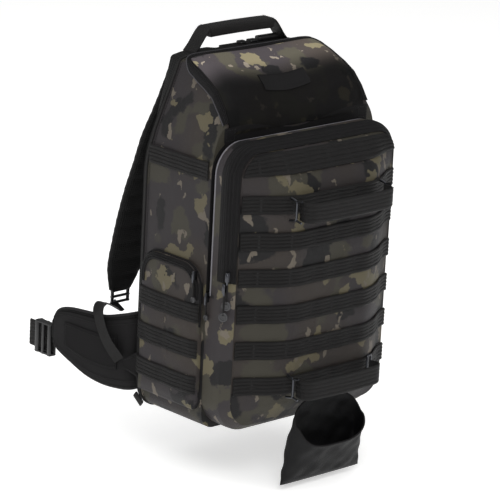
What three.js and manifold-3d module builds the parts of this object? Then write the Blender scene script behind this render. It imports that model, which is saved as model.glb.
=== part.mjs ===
// A camera backpack, hung by its grab handle: a padded main compartment with a sloped zipped hatch,
// a bulging front compartment under seven rows of webbing, side pockets, shoulder straps and a hip belt.
// Millimetres, +Z up, the front faces -Y. Shapes are worked out in the bag's own frame, whose origin is
// on the floor of the base, and the whole group is then moved so that the handle's underside is at 0,0,0.
import * as THREE from 'three';
import { mergeVertices } from 'three/addons/utils/BufferGeometryUtils.js';
import Module from 'manifold-3d';

const wasm = await Module();
wasm.setup();

// Main compartment
const BODY_HALF_WIDTH = 148;
const BODY_HEIGHT = 489;
const BACK_Y = 78;
const FRONT_Y = -55;
const BODY_WALL = 7;
const BASE_CORNER = 22;
const TAPER_DROP_BACK = 119;
const TAPER_DROP_FRONT = 107;
const BACK_LEAN = 32;
const LEAN_DROP = 154;
const BACK_BASE_TUCK = 12;
const TUCK_HEIGHT = 57;

// Fits and thin goods
const GAP = 0.3;
const SKIN_GAP = 0.8;
const CLOTH = 2.5;
const WEBBING = 1.8;
const WEBBING_WIDTH = 25;
const ROW_PITCH = 50;

// Back panel and its padding
const BACK_FLANGE = 4;
const BACK_PAD = 6;
const BACK_PAD_INSET = 20;
const YOKE_DROP = 4;
const YOKE_HEIGHT = 59;
const YOKE_FADE = 50;

// Hatch
const HATCH_SEAM_GAP = 0.35;
const HATCH_BAND = 9;
const HATCH_BAND_THICK = 1.8;
const HATCH_FOOT = BODY_HEIGHT - 85;
const SLOPE_LENGTH = 170;
const HATCH_TAB = 19;
const HATCH_BACK_STRIP = 4;
const HATCH_FOOT_DEPTH = 0.985;
const PATCH_WIDTH = 84;
const PATCH_HEIGHT = 21;
const PATCH_THICK = 1.4;
const PATCH_DEPTH = 0.69;

// Front compartment
const FRONT_HALF_WIDTH = 149;
const FRONT_TOP = 397;
const FRONT_BOTTOM = 2;
const FRONT_TOP_CORNER = 42;
const FRONT_BOTTOM_CORNER = 46;
const FRONT_REAR_Y = -64;
const FRONT_FACE_Y = -101;
const CHAMFER_SIDE = 13;
const CHAMFER_FRONT = 9.5;
const GUSSET_WALL = 3;
const ZIP_BAND_WIDTH = 9;
const ZIP_BAND_THICK = 2;
const FRONT_ZIP_WIDTH = 12;
const FRONT_ZIP_END = 215;
const MAIN_ZIP_END = 190;
const ZIP_END_FADE = 12;
const GUSSET_FLANGE = 14;
const PIPING = 4;
const PANEL_INSET = 10;
const PANEL_BULGE = 36;
const PANEL_RISE = 80;
const PANEL_RISE_ENDS = 58;
const PANEL_WALL = 3;
const FRONT_ROWS = 7;
const FIRST_FRONT_ROW = 72;
const OUTLINE_CORNER_STEPS = 8;
const PANEL_INSETS = [0, 9, 19, 32, 50, 72, 100];
const ROW_INSETS = [3, 9, 19, 32, 50, 72, 100];

// Side pockets
const POCKET_REAR_Y = 70;
const POCKET_FRONT_Y = -49;
const POCKET_BOTTOM = 25;
const POCKET_TOP = 229;
const POCKET_TOP_CORNER = 34;
const POCKET_BOTTOM_CORNER = 12;
const POCKET_DEPTH = 11;
const FIRST_SIDE_ROW = 62;
const UPPER_SIDE_ROW = BODY_HEIGHT - 132;
const SIDE_ROWS_ON_POCKET = 3;

// Grab handle
const HANDLE_Y = BACK_Y - 8;
const HANDLE_WIDTH = 25;
const HANDLE_HALF_SPAN = 90;
const GRIP_THICK = 15;
const GRIP_TOP = BODY_HEIGHT + 31;

// Shoulder straps
const STRAP_WIDTH = 70;
const STRAP_THICK = 14;
const STRAP_TOP = BODY_HEIGHT - 19;
const STRAP_DROP = 342;
const STRAP_REACH = 91;
const STRAP_START_X = 60;
const LOCK_WIDTH = 32;
const LOCK_LENGTH = 20;
const LOCK_THICK = 5;

// Hip belt
const WING_LENGTH = 133;
const WING_THICK = 12;
const WING_HEIGHT = 110;
const WING_BOTTOM = 14;
const WING_ROOT_X = BODY_HALF_WIDTH - 20;
const WING_TIP_X = BODY_HALF_WIDTH + 26;
const BELT_WEBBING = 38;
const BELT_WEBBING_THICK = 2;
const BUCKLE_LENGTH = 34;
const BUCKLE_HEIGHT = 46;
const BUCKLE_THICK = 12;

// Front straps, hooks and leg pocket
const FRONT_STRAP_WIDTH = 27;
const FRONT_STRAP_THICK = 2.4;
const FRONT_STRAP_BULGE = 22;
const HOOK_X = 82;
const HOOK_HEIGHT = 34;
const HOOK_REACH = 22;
const HOOK_BAR = 4;
const HOOK_THICK = 3;
const LEG_POCKET_HALF_WIDTH = 71;
const LEG_POCKET_DROP = 70;
const LEG_POCKET_RISE = 44;
const LEG_POCKET_DEPTH = 32;
const LEG_POCKET_WALL = 1.6;
const LEG_POCKET_Y = -136;
const LEG_POCKET_LEAN = 15;
const LEG_POCKET_SIDE_TOP = 12;
const LEG_POCKET_DIP = 28;
const POUCH_POINTS = 24;

// Zip sliders
const SLIDER_LENGTH = 13;
const SLIDER_WIDTH = 9;
const SLIDER_THICK = 3.5;
const PULL_DISC = 13;

const CAMO = { color: 0x3f3c38, roughness: 0.85, metalness: 0 };
const BLACK_CLOTH = { color: 0x1b1a1b, roughness: 0.85, metalness: 0 };
const BLACK_WEBBING = { color: 0x232322, roughness: 0.8, metalness: 0 };
const BLACK_MESH = { color: 0x161616, roughness: 0.9, metalness: 0 };
const GREY_PIPING = { color: 0x77757a, roughness: 0.6, metalness: 0 };
const BLACK_PLASTIC = { color: 0x1c1c1e, roughness: 0.4, metalness: 0 };
const DARK_METAL = { color: 0x55565a, roughness: 0.35, metalness: 1 };

const bag = new THREE.Group();

function addPiece(name, geometry, look) {
  const mesh = new THREE.Mesh(geometry, new THREE.MeshStandardMaterial(look));
  mesh.name = name;
  bag.add(mesh);
}

const lerp = (a, b, t) => a + (b - a) * t;
const clamp01 = (t) => Math.min(1, Math.max(0, t));
const smooth = (t) => clamp01(t) ** 2 * (3 - 2 * clamp01(t));

// Reads a table of rows whose first column rises, and returns every column at the given value.
function readTable(rows, value) {
  const columns = Object.keys(rows[0]);
  const key = columns[0];
  let i = 0;
  while (i < rows.length - 2 && value > rows[i + 1][key]) i += 1;
  const t = clamp01((value - rows[i][key]) / (rows[i + 1][key] - rows[i][key]));
  return Object.fromEntries(columns.map((c) => [c, lerp(rows[i][c], rows[i + 1][c], t)]));
}

// A closed body from flat triangles, turned so that its faces point out.
function bodyFrom(points, triangles) {
  let volume = 0;
  for (const [a, b, c] of triangles) {
    const [p, q, r] = [points[a], points[b], points[c]];
    volume += p[0] * (q[1] * r[2] - q[2] * r[1]) + p[1] * (q[2] * r[0] - q[0] * r[2])
      + p[2] * (q[0] * r[1] - q[1] * r[0]);
  }
  const order = volume < 0 ? triangles.map(([a, b, c]) => [a, c, b]) : triangles;
  const geometry = new THREE.BufferGeometry();
  geometry.setAttribute('position', new THREE.Float32BufferAttribute(points.flat(), 3));
  geometry.setIndex(order.flat());
  return geometry;
}

// A body lofted through rings of equally many points. Its ends are closed by fans round their middles,
// or across the ring from each point to its mirror image, or the last ring is joined to the first.
function loft(rings, joined = false, mirrored = false) {
  const n = rings[0].length;
  const points = rings.flat();
  const triangles = [];
  const spans = joined ? rings.length : rings.length - 1;
  for (let k = 0; k < spans; k += 1) {
    const next = (k + 1) % rings.length;
    for (let i = 0; i < n; i += 1) {
      const j = (i + 1) % n;
      triangles.push([k * n + i, k * n + j, next * n + j], [k * n + i, next * n + j, next * n + i]);
    }
  }
  if (!joined) {
    const close = mirrored ? closeAcross : closeEnd;
    close(points, triangles, 0, n, true);
    close(points, triangles, (rings.length - 1) * n, n, false);
  }
  return bodyFrom(points, triangles);
}

function closeEnd(points, triangles, start, n, first) {
  const turn = (a, b, c) => triangles.push(first ? [a, c, b] : [a, b, c]);
  if (n === 4) {
    turn(start, start + 1, start + 2);
    turn(start, start + 2, start + 3);
    return;
  }
  const middle = [0, 1, 2].map((k) => points.slice(start, start + n).reduce((s, p) => s + p[k], 0) / n);
  points.push(middle);
  for (let i = 0; i < n; i += 1) turn(points.length - 1, start + i, start + (i + 1) % n);
}

// Closes a ring that starts at the foot of its line of symmetry and whose points all have a mirror image.
function closeAcross(points, triangles, start, n, first) {
  const turn = (a, b, c) => triangles.push(first ? [a, c, b] : [a, b, c]);
  for (let i = 0; i < n / 2; i += 1) {
    const [a, b] = [start + i, start + i + 1];
    const [c, d] = [start + n - i - 1, start + (n - i) % n];
    if (i > 0) turn(a, b, d);
    if (i + 1 < n / 2) turn(b, c, d);
  }
}

// A band that lies on a surface: place(i, side, lift) gives a point of station i, from one edge at
// side -1 to the other at side 1.
function ribbon(stations, place, lift, thick, sides = [-1, 1]) {
  const rings = [];
  for (let i = 0; i < stations; i += 1) {
    const under = sides.map((side) => place(i, side, lift));
    const over = [...sides].reverse().map((side) => place(i, side, lift + thick));
    rings.push([...under, ...over]);
  }
  return loft(rings);
}

function toManifold(geometry) {
  const bare = geometry.clone();
  bare.deleteAttribute('normal');
  bare.deleteAttribute('uv');
  const merged = mergeVertices(bare, 1e-4);
  return new wasm.Manifold(new wasm.Mesh({
    numProp: 3,
    vertProperties: new Float32Array(merged.attributes.position.array),
    triVerts: new Uint32Array(merged.index.array),
  }));
}

function fromManifold(solid) {
  const mesh = solid.getMesh();
  const geometry = new THREE.BufferGeometry();
  geometry.setAttribute('position', new THREE.Float32BufferAttribute(mesh.vertProperties, 3));
  geometry.setIndex(Array.from(mesh.triVerts));
  return geometry;
}

// Main compartment. Each row is a slice at a share of the depth, back to front: the hatch's edge as a
// share of the half width, and the heights of edge, shoulder and middle as shares of the body's height.
const TOP_SLICES = [
  { depth: 0, edgeX: 0.824, edgeZ: 0.989, shoulderZ: 1, middleZ: 1 },
  { depth: 0.2, edgeX: 0.838, edgeZ: 0.973, shoulderZ: 0.996, middleZ: 0.99 },
  { depth: 0.39, edgeX: 0.851, edgeZ: 0.955, shoulderZ: 0.984, middleZ: 0.974 },
  { depth: 0.62, edgeX: 0.868, edgeZ: 0.932, shoulderZ: 0.961, middleZ: 0.945 },
  { depth: 0.76, edgeX: 0.878, edgeZ: 0.916, shoulderZ: 0.94, middleZ: 0.916 },
  { depth: 0.9, edgeX: 0.888, edgeZ: 0.881, shoulderZ: 0.905, middleZ: 0.87 },
  { depth: 1, edgeX: 0.892, edgeZ: 0.847, shoulderZ: 0.853, middleZ: 0.824 },
];

// The back seam, seen from the side: it is tucked in at the base and leans forward at the top.
function backY(z) {
  const tuck = BACK_BASE_TUCK * (1 - clamp01(z / TUCK_HEIGHT)) ** 2;
  const start = BODY_HEIGHT - LEAN_DROP;
  const [from, span] = [0.14, 0.72];
  const lean = BACK_LEAN * (smooth((z - start) / LEAN_DROP * span + from) - smooth(from));
  return BACK_Y - tuck - (z > start ? lean : 0);
}

function bodyY(depth, z) {
  return lerp(backY(z), FRONT_Y, depth);
}

// Height of the top surface at a share of the depth and a share u of the hatch's half width.
function topZ(depth, u) {
  const s = readTable(TOP_SLICES, depth);
  const turn = 0.76;
  const across = Math.abs(u);
  if (across < turn) return BODY_HEIGHT * lerp(s.middleZ, s.shoulderZ, smooth(across / turn));
  const fall = Math.sqrt(Math.max(0, 1 - ((across - turn) / (1 - turn)) ** 2));
  return BODY_HEIGHT * lerp(s.edgeZ, s.shoulderZ, fall);
}

function hatchEdgeX(depth) {
  return BODY_HALF_WIDTH * readTable(TOP_SLICES, depth).edgeX;
}

// One closed slice of the compartment, set in by a wall on every side.
function bodyRing(depth, wall, y = (z) => bodyY(depth, z)) {
  const half = [];
  const side = BODY_HALF_WIDTH - wall;
  const corner = BASE_CORNER - wall / 2;
  const taper = BODY_HEIGHT - lerp(TAPER_DROP_BACK, TAPER_DROP_FRONT, depth);
  half.push([0, wall]);
  half.push([side * 0.5, wall]);
  for (let i = 0; i <= 3; i += 1) {
    const a = (i / 3) * Math.PI / 2;
    half.push([side - corner + corner * Math.sin(a), wall + corner - corner * Math.cos(a)]);
  }
  for (const z of [TUCK_HEIGHT, 200, BODY_HEIGHT - LEAN_DROP]) half.push([side, z]);
  half.push([side, taper - wall * 0.3]);
  const edge = hatchEdgeX(depth) - wall * 0.8;
  const drop = wall * 0.75;
  half.push([lerp(side, edge, 0.45), lerp(taper, topZ(depth, 1), 0.45) - drop * 0.6]);
  for (const u of [1, 0.93, 0.8, 0.6, 0.3, 0]) {
    half.push([edge * u, topZ(depth, u) - lerp(wall, drop, u)]);
  }
  const mirrored = half.slice(1, -1).reverse().map(([x, z]) => [-x, z]);
  return half.concat(mirrored).map(([x, z]) => [x, y(z), z]);
}

const BODY_DEPTHS = [0, 0.2, 0.39, 0.62, 0.76, 0.9, 1];

function bodyBlock(wall) {
  if (wall === 0) return loft(BODY_DEPTHS.map((d) => bodyRing(d, 0)));
  const past = bodyRing(0, wall, (z) => backY(z) + BODY_WALL);
  const inside = BODY_DEPTHS.map((d) => bodyRing(d, wall, (z) => lerp(backY(z), FRONT_Y + wall, d)));
  return loft([past, ...inside]);
}

// The hatch's outline from above, as an upright block that reaches down to its foot.
function hatchBlock(grow) {
  const right = TOP_SLICES.map((s) => [
    BODY_HALF_WIDTH * s.edgeX + grow,
    bodyY(s.depth, BODY_HEIGHT * s.edgeZ),
  ]);
  right[0][1] += grow - HATCH_BACK_STRIP;
  right[right.length - 1][1] -= BODY_WALL;
  const outline = right.concat([...right].reverse().map(([x, y]) => [-x, y]));
  return loft([HATCH_FOOT - grow, BODY_HEIGHT + BODY_WALL].map((z) => outline.map(([x, y]) => [x, y, z])));
}

function addMainCompartment() {
  const shell = toManifold(bodyBlock(0)).subtract(toManifold(bodyBlock(BODY_WALL)));
  const hatch = shell.intersect(toManifold(hatchBlock(0)));
  const body = shell.subtract(toManifold(hatchBlock(HATCH_SEAM_GAP)));
  addPiece('main_shell', fromManifold(body), CAMO);
  addPiece('top_hatch', fromManifold(hatch), CAMO);
}

// A point of the top surface, lifted along its normal.
function topPoint(depth, u, lift) {
  const at = (d, w) => new THREE.Vector3(hatchEdgeX(d) * w, bodyY(d, topZ(d, w)), topZ(d, w));
  const step = 0.02;
  const d0 = Math.min(depth, 1 - step);
  const w0 = Math.min(Math.max(u, -1 + step), 1 - step);
  const along = at(d0 + step, w0).sub(at(Math.max(0, d0 - step), w0));
  const across = at(d0, w0 + step).sub(at(d0, w0 - step));
  const normal = new THREE.Vector3().crossVectors(across, along).normalize();
  if (normal.z < 0) normal.negate();
  return at(depth, u).addScaledVector(normal, lift).toArray();
}

// The hatch's zip runs up one edge, along the back and down the other, over the seam.
const HATCH_ZIP_ROUTE = [
  { depth: HATCH_FOOT_DEPTH, across: 0.965, turn: 0 },
  { depth: 0.9, across: 0.965, turn: 0 },
  { depth: 0.76, across: 0.965, turn: 0 },
  { depth: 0.62, across: 0.965, turn: 0 },
  { depth: 0.39, across: 0.965, turn: 0 },
  { depth: 0.22, across: 0.962, turn: 0.05 },
  { depth: 0.12, across: 0.93, turn: 0.35 },
  { depth: 0.085, across: 0.88, turn: 0.75 },
  { depth: 0.075, across: 0.8, turn: 1 },
  { depth: 0.075, across: 0.6, turn: 1 },
  { depth: 0.075, across: 0.3, turn: 1 },
];

function addHatchZip() {
  const route = [
    ...HATCH_ZIP_ROUTE.map((r) => ({ ...r, hand: -1 })),
    ...[...HATCH_ZIP_ROUTE].reverse().map((r) => ({ ...r, hand: 1 })),
  ];
  const place = (i, side, lift) => {
    const { depth, across, turn, hand } = route[i];
    const over = side * HATCH_BAND / 2;
    const u = across + (1 - turn) * over / hatchEdgeX(depth);
    const d = depth - turn * over / (backY(BODY_HEIGHT) - FRONT_Y);
    return topPoint(Math.max(0, d), Math.min(u, 1) * hand, lift);
  };
  const band = ribbon(route.length, place, SKIN_GAP, HATCH_BAND_THICK, [-1, -0.4, 0.3, 1]);
  addPiece('hatch_zip', band, BLACK_CLOTH);
}

function addHatchTab(name, hand) {
  const place = (i, side, lift) => {
    const base = topPoint(HATCH_FOOT_DEPTH, 0.93 * hand, 0);
    const z = base[2] - 6 - i * HATCH_TAB;
    const x = hand * (Math.abs(base[0]) + side * HATCH_TAB / 2 - 2);
    return [x, FRONT_Y - lift, z];
  };
  addPiece(name, ribbon(2, place, GAP, WEBBING), BLACK_WEBBING);
}

function addLabelPatch() {
  const stations = 7;
  const depthHalf = PATCH_HEIGHT / 2 / SLOPE_LENGTH;
  const place = (i, side, lift) => {
    const u = lerp(-1, 1, i / (stations - 1)) * PATCH_WIDTH / 2 / hatchEdgeX(PATCH_DEPTH);
    return topPoint(PATCH_DEPTH + side * depthHalf, u, lift);
  };
  addPiece('label_patch', ribbon(stations, place, SKIN_GAP, PATCH_THICK), BLACK_CLOTH);
}

// Padded back panel: a flange that closes the back and a pad that grows thicker under the handle.
function addBackPanel() {
  const rear = () => BACK_Y + BACK_PAD;
  const ring = (inset, drop, y) => bodyRing(0, 0).map(([x, , z]) => {
    const half = Math.max(0, Math.abs(x) - inset * smooth(Math.abs(x) / BODY_HALF_WIDTH));
    const low = inset * (1 - clamp01(z / BASE_CORNER / 3));
    const high = drop * smooth((z - BODY_HEIGHT + YOKE_HEIGHT) / YOKE_FADE);
    return [Math.sign(x) * half, y(z), z + low - high];
  });
  const rings = [
    ring(1, 0, (z) => backY(z) + GAP),
    ring(1, YOKE_DROP, (z) => backY(z) + BACK_FLANGE),
    ring(BACK_PAD_INSET * 0.7, YOKE_DROP, (z) => lerp(backY(z) + BACK_FLANGE, rear(), 0.8)),
    ring(BACK_PAD_INSET, YOKE_DROP, rear),
  ];
  addPiece('back_panel', loft(rings, false, true), BLACK_MESH);
}

// Front compartment. Its outline is a rounded rectangle, and everything on it follows that outline.

// A rounded rectangle, anticlockwise from its lower right corner. The straight edges are numbered on
// from the right one, and each may be given more points, as shares of its length.
function roundedOutline(halfWidth, bottom, top, bottomRadius, topRadius, steps, edgeShares = () => []) {
  const points = [];
  const corners = [
    [halfWidth - bottomRadius, bottom + bottomRadius, bottomRadius, -Math.PI / 2],
    [halfWidth - topRadius, top - topRadius, topRadius, 0],
    [-halfWidth + topRadius, top - topRadius, topRadius, Math.PI / 2],
    [-halfWidth + bottomRadius, bottom + bottomRadius, bottomRadius, Math.PI],
  ];
  const on = ([x, z, r, start], share) => {
    const a = start + share * Math.PI / 2;
    return [x + r * Math.cos(a), z + r * Math.sin(a)];
  };
  corners.forEach((corner, edge) => {
    for (let i = 0; i <= steps; i += 1) points.push(on(corner, i / steps));
    const [from, to] = [on(corner, 1), on(corners[(edge + 1) % 4], 0)];
    for (const t of edgeShares(edge, from, to)) points.push([lerp(from[0], to[0], t), lerp(from[1], to[1], t)]);
  });
  return points;
}

function frontOutline(inset, edgeShares) {
  return roundedOutline(
    FRONT_HALF_WIDTH - inset,
    FRONT_BOTTOM + inset,
    FRONT_TOP - inset,
    Math.max(2, FRONT_BOTTOM_CORNER - inset),
    Math.max(2, FRONT_TOP_CORNER - inset),
    OUTLINE_CORNER_STEPS,
    edgeShares,
  );
}

// The gusset's rear edge meets the body below the main zip's ends, and stands off it above them.
function gussetRear(z) {
  return lerp(FRONT_Y - GAP, FRONT_REAR_Y, smooth((z - MAIN_ZIP_END + ZIP_END_FADE) / ZIP_END_FADE));
}

function addFrontGusset() {
  const w = GUSSET_WALL;
  const [face, side, front] = [FRONT_FACE_Y, CHAMFER_SIDE, CHAMFER_FRONT];
  const section = [
    { inset: 0, y: gussetRear },
    { inset: 0, y: () => face + side },
    { inset: front, y: () => face },
    { inset: front, y: () => face + w * 1.4 },
    { inset: w, y: () => face + side + w * 0.3 },
    { inset: w, y: () => FRONT_REAR_Y - w },
    { inset: GUSSET_FLANGE, y: () => FRONT_REAR_Y - w },
    { inset: GUSSET_FLANGE, y: gussetRear },
  ];
  const stops = [0, 0.5, 1].map((t) => MAIN_ZIP_END - ZIP_END_FADE * (1 - t));
  const atStops = (edge, from, to) => {
    if (edge % 2 === 1) return [];
    const shares = stops.map((z) => (z - from[1]) / (to[1] - from[1]));
    return edge === 0 ? shares : shares.reverse();
  };
  const rings = section.map(({ inset, y }) => frontOutline(inset, atStops).map(([x, z]) => [x, y(z), z]));
  addPiece('front_gusset', loft(rings, true), CAMO);
}

// The part of the outline above a height, from its left foot over the top to its right foot.
function archOver(inset, foot) {
  const right = frontOutline(inset).slice(OUTLINE_CORNER_STEPS + 1, 2 * OUTLINE_CORNER_STEPS + 2);
  const half = [[FRONT_HALF_WIDTH - inset, foot], ...right];
  const rightNormals = [[1, 0], ...right.map((_, i) => {
    const a = (i / OUTLINE_CORNER_STEPS) * Math.PI / 2;
    return [Math.cos(a), Math.sin(a)];
  })];
  const points = [...half.map(([x, z]) => [-x, z]), [0, FRONT_TOP - inset], ...[...half].reverse()];
  const normals = [...rightNormals.map(([x, z]) => [-x, z]), [0, 1], ...[...rightNormals].reverse()];
  return points.map((p, i) => ({ p, n: normals[i] }));
}

// A point over the middle of the gusset's slanted edge: s runs across it, from the side to the front.
function chamferPoint({ p, n }, s, lift) {
  const length = Math.hypot(CHAMFER_SIDE, CHAMFER_FRONT);
  const [outward, forward] = [CHAMFER_SIDE / length * lift, CHAMFER_FRONT / length * lift];
  const inward = CHAMFER_FRONT * (0.5 + s / length);
  const y = FRONT_FACE_Y + CHAMFER_SIDE * (0.5 - s / length) - forward;
  return [p[0] + n[0] * (outward - inward), y, p[1] + n[1] * (outward - inward)];
}

function addFrontZip() {
  const route = archOver(0, FRONT_ZIP_END);
  const place = (i, side, lift) => chamferPoint(route[i], side * FRONT_ZIP_WIDTH / 2, lift);
  addPiece('front_zip', ribbon(route.length, place, GAP * 1.5, ZIP_BAND_THICK), BLACK_CLOTH);
}

// The main zip lies in the valley between the compartment and the front compartment.
function addMainZip() {
  const inset = 9;
  const route = archOver(inset, MAIN_ZIP_END);
  const depth = FRONT_Y - FRONT_REAR_Y - 2 * GAP;
  const place = (i, side, lift) => {
    const { p, n } = route[i];
    return [p[0] + n[0] * lift, FRONT_Y - GAP - depth * (side + 1) / 2, p[1] + n[1] * lift];
  };
  addPiece('main_zip', ribbon(route.length, place, 0, ZIP_BAND_THICK + 1), BLACK_CLOTH);
}

function addFrontPiping() {
  const route = archOver(0, MAIN_ZIP_END);
  const sides = 6;
  const rings = route.map(({ p, n }) => {
    const ring = [];
    for (let k = 0; k < sides; k += 1) {
      const a = (k / sides) * 2 * Math.PI + Math.PI / 6;
      const out = PIPING / 2 * Math.cos(a) - PIPING / 2;
      const y = FRONT_REAR_Y + GAP + PIPING / 2 + PIPING / 2 * Math.sin(a);
      ring.push([p[0] + n[0] * out, y, p[1] + n[1] * out]);
    }
    return ring;
  });
  addPiece('front_piping', loft(rings), GREY_PIPING);
}

// How far the front panel stands out at a point, from its distance to the edges.
function panelBulge(x, z) {
  const swell = (distance, rise) => Math.sin(clamp01(distance / rise) * Math.PI / 2) ** 1.5;
  const acrossEdge = FRONT_HALF_WIDTH - PANEL_INSET - Math.abs(x);
  const bottom = z - FRONT_BOTTOM - PANEL_INSET;
  const top = FRONT_TOP - PANEL_INSET - z;
  return PANEL_BULGE * swell(acrossEdge, PANEL_RISE)
    * swell(bottom, PANEL_RISE_ENDS) ** 0.7 * swell(top, PANEL_RISE_ENDS) ** 0.7;
}

function panelPoint(x, z, lift) {
  const at = (px, pz) => new THREE.Vector3(px, FRONT_FACE_Y - 1 - panelBulge(px, pz), pz);
  const across = at(x + 2, z).sub(at(x - 2, z));
  const up = at(x, z + 2).sub(at(x, z - 2));
  const normal = new THREE.Vector3().crossVectors(across, up).normalize();
  return at(x, z).addScaledVector(normal, lift).toArray();
}

function addFrontPanel() {
  const evenly = (edge) => (edge % 2 === 1 ? [1 / 6, 2 / 6, 3 / 6, 4 / 6, 5 / 6] : [0.2, 0.8]);
  const ring = (inset, wall) => frontOutline(PANEL_INSET + inset, evenly)
    .map(([x, z]) => panelPoint(x, z, -wall));
  const edge = (inset) => frontOutline(inset, evenly).map(([x, z]) => [x, FRONT_FACE_Y + 1, z]);
  const edgeBack = edge(PANEL_INSET + PANEL_WALL);
  const edgeFoot = edge(PANEL_INSET);
  const outer = [...PANEL_INSETS].reverse().map((inset) => ring(inset, 0));
  const inner = PANEL_INSETS.slice(1).map((inset) => ring(inset + 1, PANEL_WALL));
  addPiece('front_panel', loft([...outer, edgeFoot, edgeBack, ...inner]), CAMO);
}

function addFrontRows() {
  for (let row = 0; row < FRONT_ROWS; row += 1) {
    const z = FIRST_FRONT_ROW + row * ROW_PITCH;
    const insets = row < FRONT_ROWS - 1 ? ROW_INSETS : ROW_INSETS.slice(2);
    const right = insets.map((inset) => FRONT_HALF_WIDTH - PANEL_INSET - inset);
    const xs = [...right.map((x) => -x), ...[...right].reverse()];
    const place = (i, side, lift) => panelPoint(xs[i], z + side * WEBBING_WIDTH / 2, lift);
    const lift = row < FRONT_ROWS - 1 ? SKIN_GAP : SKIN_GAP * 1.6;
    const geometry = ribbon(xs.length, place, lift, WEBBING, [-1, 0, 1]);
    addPiece(`front_row_${row + 1}`, geometry, BLACK_WEBBING);
  }
}

// Side pocket: a shallow dome of cloth sewn round its edge, open towards the bag's side.
function pocketOutline(inset) {
  const middle = (POCKET_REAR_Y + POCKET_FRONT_Y) / 2;
  const half = (POCKET_REAR_Y - POCKET_FRONT_Y) / 2 - inset;
  return roundedOutline(
    half,
    POCKET_BOTTOM + inset,
    POCKET_TOP - inset,
    Math.max(1, POCKET_BOTTOM_CORNER - inset),
    Math.max(1, POCKET_TOP_CORNER - inset),
    4,
  ).map(([y, z]) => [y + middle, z]);
}

// The dome's rise as a share of its depth, at distances from its edge.
const POCKET_RISES = [
  { inset: 0, rise: 0 },
  { inset: 1.5, rise: 0.5 },
  { inset: 11, rise: 0.86 },
  { inset: 32, rise: 1 },
];

function addSidePocket(name, hand) {
  const x = (rise, wall) => hand * (BODY_HALF_WIDTH + GAP + Math.max(0, POCKET_DEPTH * rise - wall));
  const ring = (inset, rise, wall) => pocketOutline(inset).map(([y, z]) => [x(rise, wall), y, z]);
  const outer = [...POCKET_RISES].reverse().map((r) => ring(r.inset, r.rise, 0));
  const inner = POCKET_RISES.map((r) => ring(r.inset + CLOTH, r.rise, CLOTH));
  addPiece(name, loft([...outer, ...inner]), CAMO);
}

// A point over the side of the bag at a height where the pocket is wide, pocket or bare side.
function sideX(y, onPocket) {
  if (!onPocket) return BODY_HALF_WIDTH;
  const edge = Math.min(POCKET_REAR_Y - y, y - POCKET_FRONT_Y);
  return BODY_HALF_WIDTH + GAP + POCKET_DEPTH * readTable(POCKET_RISES, Math.max(0, edge)).rise;
}

function addSideRow(name, hand, z, onPocket) {
  const insets = onPocket ? [1.5, 11, 32] : [6, 30];
  const rear = onPocket ? POCKET_REAR_Y : BACK_Y - BACK_LEAN * 0.25;
  const front = onPocket ? POCKET_FRONT_Y : FRONT_Y;
  const ys = [...insets.map((d) => rear - d), ...[...insets].reverse().map((d) => front + d)];
  const place = (i, side, lift) => {
    const x = sideX(ys[i], onPocket) + lift;
    return [hand * x, ys[i], z + side * WEBBING_WIDTH / 2];
  };
  addPiece(name, ribbon(ys.length, place, GAP * 2, WEBBING), BLACK_WEBBING);
}

// The pocket's zip runs over its arched top, just inside the edge.
function addPocketZip(name, hand) {
  const steps = 4;
  const inset = ZIP_BAND_WIDTH / 2 + 2;
  const band = (over) => pocketOutline(inset + over).slice(steps + 1, 3 * steps + 3);
  const inner = band(ZIP_BAND_WIDTH / 2 - 1);
  const outer = band(-ZIP_BAND_WIDTH / 2 + 1);
  const rise = (side) => readTable(POCKET_RISES, inset + side * (ZIP_BAND_WIDTH / 2 - 1)).rise;
  const place = (i, side, lift) => {
    const [y, z] = (side > 0 ? inner : outer)[i];
    return [hand * (BODY_HALF_WIDTH + GAP + POCKET_DEPTH * rise(side) + lift), y, z];
  };
  addPiece(name, ribbon(inner.length, place, GAP * 2, WEBBING), BLACK_CLOTH);
}

// Grab handle: flat legs sewn to the top of the back panel and a thick grip between two folds.
const HANDLE_STATIONS = [
  { across: -1, rise: 0, thick: 0 },
  { across: -0.84, rise: 0.5, thick: 0 },
  { across: -0.7, rise: 0.92, thick: 0.15 },
  { across: -0.64, rise: 0.97, thick: 1 },
  { across: -0.35, rise: 0.99, thick: 1 },
  { across: 0, rise: 1, thick: 1 },
  { across: 0.35, rise: 0.99, thick: 1 },
  { across: 0.64, rise: 0.97, thick: 1 },
  { across: 0.7, rise: 0.92, thick: 0.15 },
  { across: 0.84, rise: 0.5, thick: 0 },
  { across: 1, rise: 0, thick: 0 },
];

function handleFoot() {
  return BODY_HEIGHT - YOKE_DROP + GAP;
}

function addGrabHandle() {
  const rings = HANDLE_STATIONS.map((s) => {
    const x = s.across * HANDLE_HALF_SPAN;
    const top = lerp(handleFoot() + CLOTH, GRIP_TOP, s.rise);
    const steep = Math.abs(s.across) > 0.66 && Math.abs(s.across) < 1;
    const flat = steep ? CLOTH * 1.6 : CLOTH;
    const bottom = top - lerp(flat, GRIP_THICK, s.thick);
    const [front, rear] = [HANDLE_Y - HANDLE_WIDTH / 2, HANDLE_Y + HANDLE_WIDTH / 2];
    return [[x, front, bottom], [x, rear, bottom], [x, rear, top], [x, front, top]];
  });
  addPiece('grab_handle', loft(rings), BLACK_WEBBING);
}

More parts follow.
